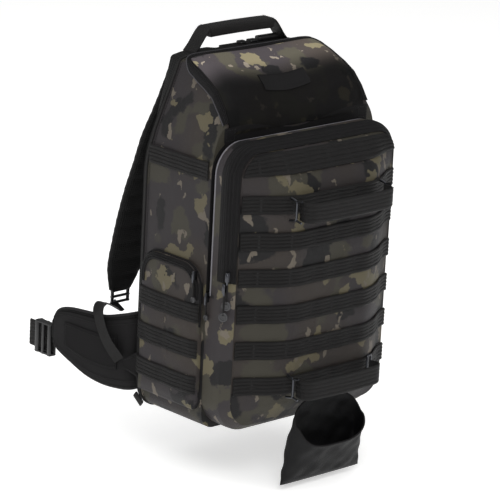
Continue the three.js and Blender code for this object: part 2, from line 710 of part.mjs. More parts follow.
function addRearZipGarage() {
  const blocks = [[4, 14, 5], [22, 34, 5], [38, 74, 8]];
  const rings = [];
  const y = [HANDLE_Y - 6, HANDLE_Y + 5];
  const foot = handleFoot();
  const profile = [[blocks[0][0], 2]];
  for (const [from, to, height] of blocks) {
    profile.push([from + 0.5, 2], [from + 1, height], [to - 1, height], [to - 0.5, 2]);
  }
  profile.push([blocks[2][1], 2]);
  for (const [x, h] of profile) {
    rings.push([[x, y[0], foot], [x, y[1], foot], [x, y[1], foot + h], [x, y[0], foot + h]]);
  }
  addPiece('rear_zip_garage', loft(rings), BLACK_PLASTIC);
}

// Shoulder straps, from the yoke down to the ladder lock. Shares of the drop, the reach behind the
// back panel, the half spacing and the width.
const STRAP_STATIONS = [
  { drop: 0, reach: 0, spread: 1, width: 1 },
  { drop: 0.1, reach: 0.03, spread: 1.2, width: 1 },
  { drop: 0.2, reach: 0.13, spread: 1.32, width: 1 },
  { drop: 0.31, reach: 0.3, spread: 1.38, width: 1 },
  { drop: 0.43, reach: 0.45, spread: 1.4, width: 1 },
  { drop: 0.55, reach: 0.62, spread: 1.4, width: 1 },
  { drop: 0.68, reach: 0.77, spread: 1.4, width: 1 },
  { drop: 0.8, reach: 0.88, spread: 1.41, width: 0.98 },
  { drop: 0.9, reach: 0.96, spread: 1.46, width: 0.86 },
  { drop: 1, reach: 1, spread: 1.54, width: 0.49 },
];

function strapFace() {
  return BACK_Y + BACK_PAD + GAP * 2;
}

function strapCentre(s) {
  return [
    STRAP_START_X * s.spread,
    strapFace() + STRAP_THICK / 2 + STRAP_REACH * s.reach,
    STRAP_TOP - STRAP_DROP * s.drop,
  ];
}

function addShoulderStrap(name, hand) {
  const rings = STRAP_STATIONS.map((s, i) => {
    const before = strapCentre(STRAP_STATIONS[Math.max(0, i - 1)]);
    const after = strapCentre(STRAP_STATIONS[Math.min(STRAP_STATIONS.length - 1, i + 1)]);
    const dy = after[1] - before[1];
    const dz = after[2] - before[2];
    const length = Math.hypot(dy, dz);
    const [ny, nz] = i === 0 ? [1, 0] : [-dz / length, dy / length];
    const [cx, cy, cz] = strapCentre(s);
    const half = STRAP_WIDTH * s.width / 2;
    const t = STRAP_THICK / 2;
    const section = [[-1, 0.3], [-0.9, 1], [0.9, 1], [1, 0.3], [1, -0.3], [0.9, -1], [-0.9, -1], [-1, -0.3]];
    return section.map(([a, b]) => [hand * (cx + a * half), cy + ny * b * t, cz + nz * b * t]);
  });
  addPiece(name, loft(rings), BLACK_MESH);
}

// Ladder lock below each strap: a flat plastic frame with two slots.
function addLadderLock(name, hand) {
  const shape = new THREE.Shape();
  const w = LOCK_WIDTH / 2;
  const h = LOCK_LENGTH / 2;
  shape.moveTo(-w, -h).lineTo(w, -h).lineTo(w, h).lineTo(-w, h).lineTo(-w, -h);
  for (const z of [-0.45, 0.45]) {
    const slot = new THREE.Path();
    const [sw, sh] = [w - 4, 3.2];
    slot.moveTo(-sw, z * h - sh).lineTo(-sw, z * h + sh).lineTo(sw, z * h + sh).lineTo(sw, z * h - sh);
    slot.lineTo(-sw, z * h - sh);
    shape.holes.push(slot);
  }
  const geometry = new THREE.ExtrudeGeometry(shape, { depth: LOCK_THICK, bevelEnabled: false });
  const [x, y, z] = strapCentre(STRAP_STATIONS[STRAP_STATIONS.length - 1]);
  geometry.translate(0, 0, -LOCK_THICK / 2);
  geometry.rotateX(Math.PI / 2);
  geometry.translate(hand * x, y, z - h - GAP - 0.2);
  addPiece(name, geometry, BLACK_PLASTIC);
}

// Strap webbing: from the lock outwards over the wing's upper edge and down its face to the tab. Each
// row is a station: shares of the way back, of the way out, its extra rise, and the band's width as a
// direction (sideways, rearwards, up).
const WEBBING_STATIONS = [
  { share: 0, outward: 0, rise: 0, wideX: 1, wideY: 0, wideZ: 0 },
  { share: 0.02, outward: 0.16, rise: -1, wideX: 0.5, wideY: 0.8, wideZ: 0 },
  { share: 0.05, outward: 0.42, rise: 9, wideX: 0, wideY: 1, wideZ: 0 },
  { share: 0.15, outward: 0.85, rise: 24, wideX: 0, wideY: 1, wideZ: 0 },
  { share: 0.26, outward: 1.19, rise: 27, wideX: 0, wideY: 0.94, wideZ: -0.34 },
  { share: 0.42, outward: 1.29, rise: 12, wideX: 0, wideY: 0.8, wideZ: -0.6 },
  { share: 0.69, outward: 1.16, rise: 4, wideX: 0, wideY: 0.66, wideZ: -0.75 },
  { share: 1, outward: 1, rise: 0, wideX: 0, wideY: 0.6, wideZ: -0.8 },
];

function addStrapWebbing(name, hand) {
  const lock = strapCentre(STRAP_STATIONS[STRAP_STATIONS.length - 1]);
  const start = [lock[0], lock[1], lock[2] - LOCK_LENGTH - 4];
  const end = anchorTip();
  const centre = WEBBING_STATIONS.map((s) => new THREE.Vector3(
    lerp(start[0], end[0], s.outward),
    lerp(start[1], end[1], s.share),
    lerp(start[2], end[2], s.share) + s.rise,
  ));
  const last = centre.length - 1;
  const rings = WEBBING_STATIONS.map((s, i) => {
    const along = centre[Math.min(last, i + 1)].clone().sub(centre[Math.max(0, i - 1)]).normalize();
    const wide = new THREE.Vector3(s.wideX, s.wideY, s.wideZ);
    wide.addScaledVector(along, -wide.dot(along)).normalize();
    const normal = new THREE.Vector3().crossVectors(wide, along);
    const corner = (a, b) => {
      const q = centre[i].clone().addScaledVector(wide, a).addScaledVector(normal, b);
      return [hand * q.x, q.y, q.z];
    };
    const [half, t] = [WEBBING_WIDTH / 2 * 0.8, WEBBING / 2];
    return [corner(-half, -t), corner(half, -t), corner(half, t), corner(-half, t)];
  });
  addPiece(name, loft(rings), BLACK_WEBBING);
}

// Hip belt wing, seen from above: it leaves the back panel, turns outwards and reaches back.
// Shares of the length and of the splay, and its lower and upper edges as shares of its height.
const WING_STATIONS = [
  { length: 0, splay: 0, low: 0.03, high: 1 },
  { length: 0.05, splay: 0.3, low: 0.01, high: 0.98 },
  { length: 0.15, splay: 0.46, low: 0, high: 0.94 },
  { length: 0.34, splay: 0.65, low: 0.01, high: 0.88 },
  { length: 0.55, splay: 0.8, low: 0.07, high: 0.875 },
  { length: 0.78, splay: 0.93, low: 0.2, high: 0.86 },
  { length: 0.93, splay: 0.985, low: 0.29, high: 0.8 },
  { length: 1, splay: 1, low: 0.36, high: 0.68 },
];

function wingCentre(s) {
  return [
    lerp(WING_ROOT_X, WING_TIP_X, s.splay),
    BACK_Y + BACK_PAD + GAP + WING_THICK / 2 + 0.4 + WING_LENGTH * s.length,
  ];
}

function addBeltWing(name, hand) {
  const rings = WING_STATIONS.map((s, i) => {
    const before = wingCentre(WING_STATIONS[Math.max(0, i - 1)]);
    const after = wingCentre(WING_STATIONS[Math.min(WING_STATIONS.length - 1, i + 1)]);
    const length = Math.hypot(after[0] - before[0], after[1] - before[1]);
    const nx = i === 0 ? 0 : (after[1] - before[1]) / length;
    const ny = i === 0 ? -1 : -(after[0] - before[0]) / length;
    const [cx, cy] = wingCentre(s);
    const [low, high] = [WING_BOTTOM + WING_HEIGHT * s.low, WING_BOTTOM + WING_HEIGHT * s.high];
    const t = WING_THICK / 2;
    const section = [[-0.35, low], [-1, low + 6], [-1, high - 6], [-0.35, high],
      [0.35, high], [1, high - 6], [1, low + 6], [0.35, low]];
    return section.map(([b, z]) => [hand * (cx + nx * b * t), cy + ny * b * t, z]);
  });
  addPiece(name, loft(rings), BLACK_MESH);
}

function anchorTip() {
  return [BODY_HALF_WIDTH + 10.5, BACK_Y + 25, 57];
}

// Triangular tab sewn into the back seam, which carries the strap webbing.
function addStrapAnchor(name, hand) {
  const [tipX, tipY, tipZ] = anchorTip();
  const rootX = BODY_HALF_WIDTH + GAP + 0.3;
  const out = CLOTH;
  const at = (x, y, z) => [[hand * x, y, z], [hand * (x + out), y, z]];
  const a = at(rootX, BACK_Y - 4, tipZ + 19);
  const b = at(rootX, BACK_Y - 4, tipZ - 20);
  const c = at(tipX - 2, tipY - 11, tipZ - 3);
  const points = [...a, ...b, ...c];
  const triangles = [[0, 2, 4], [1, 5, 3], [0, 1, 3], [0, 3, 2], [2, 3, 5], [2, 5, 4], [4, 5, 1], [4, 1, 0]];
  addPiece(name, bodyFrom(points, triangles), BLACK_CLOTH);
}

// Belt buckle half: a frame that the belt's webbing runs through.
function buckleStart() {
  return BACK_Y + BACK_PAD + WING_LENGTH + WING_THICK / 2 + 3;
}

function buckleMiddle() {
  return WING_BOTTOM + WING_HEIGHT * 0.37;
}

function addBeltBuckle(name, hand) {
  const frame = (half, height) => {
    const shape = [[-half, -height], [half, -height], [half, height], [-half, height]];
    return shape;
  };
  const outer = frame(BUCKLE_THICK / 2, BUCKLE_HEIGHT / 2);
  const inner = frame(BELT_WEBBING_THICK / 2 + 0.8, BELT_WEBBING / 2 + 0.8);
  const start = buckleStart();
  const rings = [
    [outer, start, 0.8], [outer, start + 5, 1], [outer, start + BUCKLE_LENGTH - 6, 1],
    [outer, start + BUCKLE_LENGTH, 0.86], [inner, start + BUCKLE_LENGTH, 1], [inner, start, 1],
  ].map(([shape, y, scale]) => shape.map(([x, z]) => [
    hand * (WING_TIP_X + x * (shape === outer ? scale : 1)), y,
    buckleMiddle() + z * (shape === outer ? lerp(1, scale, 0.4) : 1),
  ]));
  addPiece(name, loft(rings, true), BLACK_PLASTIC);
}

function addBeltWebbing(name, hand) {
  const start = BACK_Y + BACK_PAD + WING_LENGTH + WING_THICK / 2 + 0.4 + GAP * 2;
  const end = buckleStart() + BUCKLE_LENGTH + 17;
  const place = (i, side, lift) => [
    hand * (WING_TIP_X + lift), i === 0 ? start : end, buckleMiddle() + side * BELT_WEBBING / 2,
  ];
  const geometry = ribbon(2, place, -BELT_WEBBING_THICK / 2, BELT_WEBBING_THICK);
  addPiece(name, geometry, BLACK_WEBBING);
}

// A zip slider with its pull, cut as one flat outline. It hangs down from the given point and faces
// the way that the turn about the upright gives, where no turn faces forwards.
function addZipPull(name, at, turn, drop, disc) {
  const [w, l] = [SLIDER_WIDTH / 2, SLIDER_LENGTH];
  const cord = 1.4;
  const right = [[w * 0.7, 0], [w, -l * 0.3], [w * 0.75, -l], [cord, -l - 1]];
  const steps = 8;
  const start = Math.asin(cord / disc);
  for (let i = 0; i <= steps; i += 1) {
    const a = lerp(start, Math.PI, i / steps);
    if (i < steps) right.push([disc * Math.sin(a), -drop + disc * Math.cos(a)]);
  }
  const outline = [...right, [0, -drop - disc], ...[...right].reverse().map(([x, z]) => [-x, z])];
  const shape = new THREE.Shape(outline.map(([x, z]) => new THREE.Vector2(x, z)));
  const geometry = new THREE.ExtrudeGeometry(shape, { depth: SLIDER_THICK, bevelEnabled: false });
  geometry.rotateX(Math.PI / 2);
  geometry.rotateZ(turn);
  geometry.translate(...at);
  addPiece(name, geometry, DARK_METAL);
}

function addZipPulls() {
  const edge = { p: [-FRONT_HALF_WIDTH, 0], n: [-1, 0] };
  const onEdge = (s, z) => {
    const [x, y] = chamferPoint(edge, s, GAP * 2.5 + ZIP_BAND_THICK);
    return [x, y, z];
  };
  const chamferTurn = -Math.atan2(CHAMFER_SIDE, CHAMFER_FRONT);
  const disc = PULL_DISC / 2;
  addZipPull('front_zip_pull_upper', onEdge(-5, FRONT_ZIP_END + 10), chamferTurn, 35, disc);
  addZipPull('front_zip_pull_lower', onEdge(5, FRONT_ZIP_END + 7), chamferTurn, 49, disc);
  const sideY = (FRONT_Y + FRONT_REAR_Y) / 2;
  const sideX = FRONT_HALF_WIDTH + GAP * 2;
  addZipPull('main_zip_pull_left', [-sideX, sideY, MAIN_ZIP_END + 4], -Math.PI / 2, 34, disc * 0.6);
  addZipPull('main_zip_pull_right', [sideX, sideY, MAIN_ZIP_END + 4], Math.PI / 2, 34, disc * 0.6);
  const pocketX = BODY_HALF_WIDTH + POCKET_DEPTH + GAP * 2.5;
  for (const [side, hand] of [['left', -1], ['right', 1]]) {
    const at = [hand * pocketX, POCKET_FRONT_Y + 14, POCKET_TOP + 1];
    addZipPull(`side_zip_pull_${side}`, at, hand * Math.PI / 2, 46, disc * 0.5);
  }
}

// Front straps: a webbing band that stands out from the panel between two metal ends.
const STRAP_BAND = [
  { across: -1, out: 0 },
  { across: -1.03, out: 0.5 },
  { across: -0.98, out: 0.8 },
  { across: -0.82, out: 1 },
  { across: 0, out: 1.12 },
  { across: 0.82, out: 1 },
  { across: 0.98, out: 0.8 },
  { across: 1.03, out: 0.5 },
  { across: 1, out: 0 },
];

function hookFaceY(z) {
  return panelPoint(HOOK_X, z, 0)[1] - SKIN_GAP - WEBBING - GAP * 2;
}

function addFrontStrap(name, z, hookX) {
  const widest = Math.max(...STRAP_BAND.map((s) => s.across));
  const halfSpan = (hookX - HOOK_THICK / 2 - FRONT_STRAP_THICK / 2 - GAP * 1.5) / widest;
  const base = hookFaceY(z) - HOOK_REACH * 0.62;
  const at = (i) => {
    const s = STRAP_BAND[i];
    return new THREE.Vector2(s.across * halfSpan, base - FRONT_STRAP_BULGE * s.out);
  };
  const place = (i, side, lift) => {
    const along = at(Math.min(STRAP_BAND.length - 1, i + 1)).sub(at(Math.max(0, i - 1))).normalize();
    const p = at(i);
    return [p.x + along.y * lift, p.y - along.x * lift, z + side * FRONT_STRAP_WIDTH / 2];
  };
  const geometry = ribbon(STRAP_BAND.length, place, -FRONT_STRAP_THICK / 2, FRONT_STRAP_THICK);
  addPiece(name, geometry, BLACK_WEBBING);
}

// A flat metal hook that stands on edge: a bar with a prong at each end, tucked in a webbing row.
function addHook(name, x, z) {
  const face = hookFaceY(z);
  const h = HOOK_HEIGHT / 2;
  const bar = HOOK_BAR;
  const mid = HOOK_REACH * 0.55;
  const shape = new THREE.Shape();
  shape.moveTo(0, h).lineTo(0, h - bar * 0.8).lineTo(mid - bar / 2, h - bar * 1.5);
  shape.lineTo(mid - bar / 2, -h + bar * 1.2).lineTo(0, -h + bar * 0.8).lineTo(0, -h);
  shape.lineTo(HOOK_REACH, -h).lineTo(HOOK_REACH, -h + bar * 0.8).lineTo(mid + bar / 2, -h + bar * 1.2);
  shape.lineTo(mid + bar / 2, h - bar * 1.5).lineTo(HOOK_REACH, h - bar * 1.6).lineTo(HOOK_REACH, h - bar * 0.8);
  shape.lineTo(0, h);
  const geometry = new THREE.ExtrudeGeometry(shape, { depth: HOOK_THICK, bevelEnabled: false });
  const turned = new THREE.Matrix4().makeBasis(
    new THREE.Vector3(0, -1, 0), new THREE.Vector3(0, 0, 1), new THREE.Vector3(-1, 0, 0),
  );
  geometry.applyMatrix4(turned);
  geometry.translate(x + HOOK_THICK / 2, face, z);
  addPiece(name, geometry, DARK_METAL);
}

// A rectangular metal loop at the right end of the lower strap.
function addLoop(name, x, z) {
  const h = HOOK_HEIGHT / 2 + 1;
  const half = 6.5;
  const shape = new THREE.Shape();
  shape.moveTo(-half, -h).lineTo(half, -h).lineTo(half, h).lineTo(-half, h).lineTo(-half, -h);
  const hole = new THREE.Path();
  const [hw, hh] = [half - HOOK_THICK, h - HOOK_THICK];
  hole.moveTo(-hw, -hh).lineTo(-hw, hh).lineTo(hw, hh).lineTo(hw, -hh).lineTo(-hw, -hh);
  shape.holes.push(hole);
  const geometry = new THREE.ExtrudeGeometry(shape, { depth: HOOK_THICK, bevelEnabled: false });
  geometry.rotateX(Math.PI / 2);
  geometry.rotateZ(0.3);
  geometry.translate(x + 1, hookFaceY(z) - 1.6, z);
  addPiece(name, geometry, DARK_METAL);
}

// Leg pocket: a thin cloth pouch with an open top, hanging from the panel's foot.
const POUCH_SLICES = [
  { height: 0, width: 1.03, depth: 0.14, forward: 0 },
  { height: 0.12, width: 1.01, depth: 0.42, forward: 0.05 },
  { height: 0.4, width: 0.98, depth: 0.75, forward: 0.15 },
  { height: 0.75, width: 0.95, depth: 0.95, forward: 0.5 },
  { height: 1, width: 0.93, depth: 1, forward: 1 },
];

function pouchBlock(wall, openTop) {
  const flat = (c) => Math.sign(c) * Math.abs(c) ** 0.6;
  const rings = POUCH_SLICES.map((s, k) => {
    const last = k === POUCH_SLICES.length - 1;
    const ring = [];
    for (let i = 0; i < POUCH_POINTS; i += 1) {
      const a = (i / POUCH_POINTS) * 2 * Math.PI;
      const half = Math.max(0.8, LEG_POCKET_DEPTH * s.depth / 2 - wall);
      const edge = Math.sin(a) > 0
        ? lerp(LEG_POCKET_SIDE_TOP, LEG_POCKET_RISE, Math.sin(a))
        : LEG_POCKET_SIDE_TOP - LEG_POCKET_DIP * Math.abs(Math.sin(a));
      const x = (LEG_POCKET_HALF_WIDTH * s.width - wall) * flat(Math.cos(a));
      const z = lerp(-LEG_POCKET_DROP, edge, s.height) + (k === 0 ? wall * 1.5 : 0);
      const y = LEG_POCKET_Y - LEG_POCKET_LEAN * s.forward + half * flat(Math.sin(a));
      const resting = last && Math.sin(a) > 0.5;
      ring.push([
        x,
        resting ? panelPoint(x, z, 0)[1] - SKIN_GAP - wall : y,
        z + (openTop && last ? 10 : 0),
      ]);
    }
    return ring;
  });
  return loft(rings);
}

function addLegPocket() {
  const pouch = toManifold(pouchBlock(0, false)).subtract(toManifold(pouchBlock(LEG_POCKET_WALL, true)));
  addPiece('leg_pocket', fromManifold(pouch), BLACK_CLOTH);
}

addMainCompartment();
addHatchZip();
addHatchTab('hatch_tab_left', -1);
addHatchTab('hatch_tab_right', 1);
addLabelPatch();
addBackPanel();
addFrontGusset();
addFrontZip();
addMainZip();
addFrontPiping();
addFrontPanel();
addFrontRows();
for (const [side, hand] of [['left', -1], ['right', 1]]) {
  addSidePocket(`side_pocket_${side}`, hand);
  addPocketZip(`side_pocket_zip_${side}`, hand);
  for (let row = 0; row < SIDE_ROWS_ON_POCKET; row += 1) {
    addSideRow(`side_row_${side}_${row + 1}`, hand, FIRST_SIDE_ROW + row * ROW_PITCH, true);
  }
  addSideRow(`side_row_${side}_upper`, hand, UPPER_SIDE_ROW, false);
  addShoulderStrap(`shoulder_strap_${side}`, hand);
  addLadderLock(`ladder_lock_${side}`, hand);
  addStrapWebbing(`strap_webbing_${side}`, hand);
  addStrapAnchor(`strap_anchor_${side}`, hand);
  addBeltWing(`belt_wing_${side}`, hand);
  addBeltBuckle(`belt_buckle_${side}`, hand);
  addBeltWebbing(`belt_webbing_${side}`, hand);
}
addGrabHandle();
addRearZipGarage();
addFrontStrap('front_strap_upper', FIRST_FRONT_ROW + 5 * ROW_PITCH - 5, HOOK_X);
addFrontStrap('front_strap_lower', FIRST_FRONT_ROW, HOOK_X - 8);
addHook('upper_hook_left', -HOOK_X, FIRST_FRONT_ROW + 5 * ROW_PITCH - 5);
addHook('upper_hook_right', HOOK_X, FIRST_FRONT_ROW + 5 * ROW_PITCH - 5);
addHook('lower_hook_left', -HOOK_X + 8, FIRST_FRONT_ROW);
addLoop('lower_loop_right', HOOK_X - 8, FIRST_FRONT_ROW);
addLegPocket();
addZipPulls();

bag.position.set(0, -HANDLE_Y, -(GRIP_TOP - GRIP_THICK));
const part = new THREE.Group();
part.add(bag);

export default part;
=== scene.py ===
"""A camera backpack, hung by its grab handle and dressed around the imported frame.

Sizes are in millimetres from the middle of the bag's base, +Z up and -Y out of the front.
"""
from functools import partial

import bpy
import numpy as np
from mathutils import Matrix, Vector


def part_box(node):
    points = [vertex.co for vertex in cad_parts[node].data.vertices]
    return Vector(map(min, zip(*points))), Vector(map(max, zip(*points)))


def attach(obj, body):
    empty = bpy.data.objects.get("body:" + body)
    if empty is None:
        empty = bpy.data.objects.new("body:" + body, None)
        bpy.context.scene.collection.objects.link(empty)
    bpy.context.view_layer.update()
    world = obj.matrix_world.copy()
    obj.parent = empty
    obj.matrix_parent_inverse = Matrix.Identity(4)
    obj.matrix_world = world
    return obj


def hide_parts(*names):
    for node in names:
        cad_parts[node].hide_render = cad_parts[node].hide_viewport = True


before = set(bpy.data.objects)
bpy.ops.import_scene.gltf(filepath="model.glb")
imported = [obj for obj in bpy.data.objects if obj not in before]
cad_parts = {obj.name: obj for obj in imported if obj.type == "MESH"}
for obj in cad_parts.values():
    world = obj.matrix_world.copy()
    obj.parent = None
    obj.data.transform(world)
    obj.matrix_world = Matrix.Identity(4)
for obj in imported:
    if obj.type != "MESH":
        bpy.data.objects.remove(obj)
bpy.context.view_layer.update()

# Camera: a long lens a little above the bag's middle, which sees the front and the left side.
# The bag's middle stands slightly right of and above the picture's centre.
PICTURE = 500
SENSOR_MM = 36
MM_PER_PIXEL = 1.36
CAMERA_AZIMUTH = np.radians(-43.5)
CAMERA_ELEVATION = np.radians(16.4)
CAMERA_ROLL = np.radians(2.9)
CAMERA_DISTANCE = 4500
AIM_HEIGHT = 232
AIM_RIGHT_PIXELS = 12
AIM_UP_PIXELS = 13

shell_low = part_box("main_shell")[0]
SHELL_FRONT = -55
BASE_MIDDLE = np.array([0, shell_low.y * 1000 - SHELL_FRONT, shell_low.z * 1000])


def to_frame(points):
    """Millimetres from the middle of the base, turned to metres in the frame of the CAD."""
    return (np.asarray(points, float) + BASE_MIDDLE) / 1000


back = np.array([
    np.sin(CAMERA_AZIMUTH) * np.cos(CAMERA_ELEVATION),
    -np.cos(CAMERA_AZIMUTH) * np.cos(CAMERA_ELEVATION),
    np.sin(CAMERA_ELEVATION),
])
level = np.array([np.cos(CAMERA_AZIMUTH), np.sin(CAMERA_AZIMUTH), 0])
upright = np.cross(back, level)
right = np.cos(CAMERA_ROLL) * level + np.sin(CAMERA_ROLL) * upright
up = np.cos(CAMERA_ROLL) * upright - np.sin(CAMERA_ROLL) * level
aim = np.array([0, 0, AIM_HEIGHT]) - MM_PER_PIXEL * (AIM_RIGHT_PIXELS * right + AIM_UP_PIXELS * up)

camera = bpy.data.objects.new("camera", bpy.data.cameras.new("camera"))
camera.data.sensor_width = SENSOR_MM
camera.data.lens = SENSOR_MM * CAMERA_DISTANCE / (MM_PER_PIXEL * PICTURE)
pose = np.eye(4)
pose[:3, :3] = np.stack([right, up, back], 1)
pose[:3, 3] = to_frame(aim + back * CAMERA_DISTANCE)
camera.matrix_world = pose.T.tolist()
bpy.context.scene.collection.objects.link(camera)
bpy.context.scene.camera = camera


# Floor and light: a plain pale floor under the hanging bag, and soft studio light, the main one from
# above on the left, a weaker one from the right and one behind the bag.
FLOOR_BELOW = 80
FLOOR_HALF = 6000
FLOOR_GLOW = 0.5
LIGHTS = {
    "key": {"at": (-1500, -1700, 1700), "size": 1500, "watts": 30},
    "fill": {"at": (1900, -1300, 700), "size": 1400, "watts": 1.5},
    "rim": {"at": (-900, 1500, 1500), "size": 1200, "watts": 9},
    "top": {"at": (-200, -700, 4200), "size": 7000, "watts": 165},
}


def linear(colour):
    """An sRGB hex colour as linear red, green, blue and alpha."""
    srgb = np.array([int(colour[i:i + 2], 16) for i in (1, 3, 5)]) / 255
    low, high = srgb / 12.92, ((srgb + 0.055) / 1.055) ** 2.4
    return (*np.where(srgb <= 0.04045, low, high).tolist(), 1.0)


def new_material(name, base, roughness, **sockets):
    """A Principled material; the other arguments set its sockets by name, with _ for each space."""
    material = bpy.data.materials.new(name)
    material.use_nodes = True
    shader = material.node_tree.nodes["Principled BSDF"]
    shader.inputs["Base Color"].default_value = linear(base)
    shader.inputs["Roughness"].default_value = roughness
    for socket, value in sockets.items():
        shader.inputs[socket.replace("_", " ")].default_value = value
    return material


floor_half = FLOOR_HALF / 1000
floor_z = to_frame([0, 0, -FLOOR_BELOW])[2]
corners = [(-1, -1), (1, -1), (1, 1), (-1, 1)]
floor_mesh = bpy.data.meshes.new("floor")
floor_mesh.from_pydata([(x * floor_half, y * floor_half, floor_z) for x, y in corners], [], [(0, 1, 2, 3)])
paper = new_material("matt white paper floor", "#f4f4f3", 0.9, Emission_Color=(1, 1, 1, 1),
                     Emission_Strength=FLOOR_GLOW)
floor_mesh.materials.append(paper)
floor = bpy.data.objects.new("floor", floor_mesh)
bpy.context.scene.collection.objects.link(floor)

world = bpy.data.worlds.new("studio")
world.use_nodes = True
world.node_tree.nodes["Background"].inputs["Color"].default_value = linear("#ffffff")
world.node_tree.nodes["Background"].inputs["Strength"].default_value = 0.2
bpy.context.scene.world = world
bpy.context.scene.view_settings.view_transform = "Standard"

for name, light in LIGHTS.items():
    lamp = bpy.data.lights.new(name, "AREA")
    lamp.size = light["size"] / 1000
    lamp.energy = light["watts"]
    holder = bpy.data.objects.new(name, lamp)
    at = np.array(light["at"], float)
    forward = at - np.array([0, 0, AIM_HEIGHT])
    forward = forward / np.linalg.norm(forward)
    side = np.cross([0, 0, 1.0], forward)
    side = side / np.linalg.norm(side)
    turn = np.eye(4)
    turn[:3, :3] = np.stack([side, np.cross(forward, side), forward], 1)
    turn[:3, 3] = to_frame(at)
    holder.matrix_world = turn.T.tolist()
    bpy.context.scene.collection.objects.link(holder)


# Main compartment: foam-padded panels of coated camouflage cloth, sewn to a box that tapers to the
# hatch. The sides stand slightly full between their seams.
BODY_HALF = 148
BODY_TALL = 489
BODY_BACK = 78
BODY_DEEP = BODY_BACK - SHELL_FRONT
BACK_LEAN = 32
LEAN_FROM = 335
LEAN_START = 0.14
LEAN_SHARE = 0.72
BACK_TUCK = 12
TUCK_HEIGHT = 57
FOOT_ROUND = 22
TAPER_BACK = 370
TAPER_FRONT = 382
TAPER_EASE = 24
TAPER_BEND = 14
SIDE_CROWN = 3
CROWN_POWER = 0.7
TOP_SLICES = {
    "depth": [0, 0.2, 0.39, 0.62, 0.76, 0.9, 1],
    "edge_x": [0.824, 0.838, 0.851, 0.868, 0.878, 0.888, 0.892],
    "edge_z": [0.989, 0.973, 0.955, 0.932, 0.916, 0.881, 0.847],
    "shoulder_z": [1, 0.996, 0.984, 0.961, 0.94, 0.905, 0.853],
    "middle_z": [1, 0.99, 0.974, 0.945, 0.916, 0.87, 0.824],
}
SHOULDER_FROM = 0.76


def smooth(t):
    """0 before 0, 1 after 1 and the curve 3t^2 - 2t^3 between."""
    t = np.clip(t, 0, 1)
    return t * t * (3 - 2 * t)


def lerp(a, b, t):
    """The straight mix of a and b."""
    return a + (b - a) * t


def slice_value(column, depth):
    """A column of the slices at a share of the depth, joined by straight lines."""
    return np.interp(depth, TOP_SLICES["depth"], TOP_SLICES[column])


def back_y(z):
    """The back seam: a square tuck at the foot and a smooth lean forwards at the top."""
    tuck = BACK_TUCK * (1 - np.clip(z / TUCK_HEIGHT, 0, 1)) ** 2
    share = (z - LEAN_FROM) / (BODY_TALL - LEAN_FROM) * LEAN_SHARE + LEAN_START
    lean = BACK_LEAN * (smooth(share) - smooth(LEAN_START))
    return BODY_BACK - tuck - np.where(z > LEAN_FROM, lean, 0)


def body_y(depth, z):
    """A straight mix from the back seam to the front seam."""
    return lerp(back_y(z), SHELL_FRONT, depth)


def top_z(depth, u):
    """Height over the hatch: a smooth rise from middle to shoulder, then a quarter ellipse to the edge."""
    u = np.abs(u)
    edge, shoulder, middle = (slice_value(c, depth) for c in ("edge_z", "shoulder_z", "middle_z"))
    inner = lerp(middle, shoulder, smooth(u / SHOULDER_FROM))
    fall = np.sqrt(np.clip(1 - ((u - SHOULDER_FROM) / (1 - SHOULDER_FROM)) ** 2, 0, 1))
    outer = lerp(edge, shoulder, fall)
    return BODY_TALL * np.where(u < SHOULDER_FROM, inner, outer)


def edge_x(depth):
    """Half width of the hatch."""
    return BODY_HALF * slice_value("edge_x", depth)


def body_slice(depth):
    """One slice, half of it worked out and mirrored: flat base, quarter circle foot, crowned side,
    a quadratic curve to the hatch's edge, and the top."""
    taper = lerp(TAPER_BACK, TAPER_FRONT, depth)
    turn = np.linspace(0, np.pi / 2, 9)[1:]
    z = np.linspace(FOOT_ROUND, taper - TAPER_EASE, 30)[1:]
    crown = SIDE_CROWN * np.sin(np.pi * depth) ** CROWN_POWER * np.sin(np.pi * z / taper) ** CROWN_POWER
    t = np.linspace(0, 1, 14)[1:]
    ends = np.array([[BODY_HALF + crown[-1], taper - TAPER_EASE], [BODY_HALF, taper + TAPER_BEND]])
    rim = np.array([edge_x(depth), top_z(depth, 1)])
    bend = (1 - t)[:, None] ** 2 * ends[0] + 2 * (t * (1 - t))[:, None] * ends[1] + t[:, None] ** 2 * rim
    u = np.linspace(1, 0, 40)[1:]
    x = np.concatenate([
        np.linspace(0, BODY_HALF - FOOT_ROUND, 9),
        BODY_HALF - FOOT_ROUND * (1 - np.sin(turn)),
        BODY_HALF + crown,
        bend[:, 0],
        edge_x(depth) * u,
    ])
    height = np.concatenate([
        np.zeros(9), FOOT_ROUND * (1 - np.cos(turn)), z, bend[:, 1], top_z(depth, u),
    ])
    ring = np.stack([x, body_y(depth, height), height], 1)
    return np.concatenate([ring, (ring * [-1, 1, 1])[-2:0:-1]])


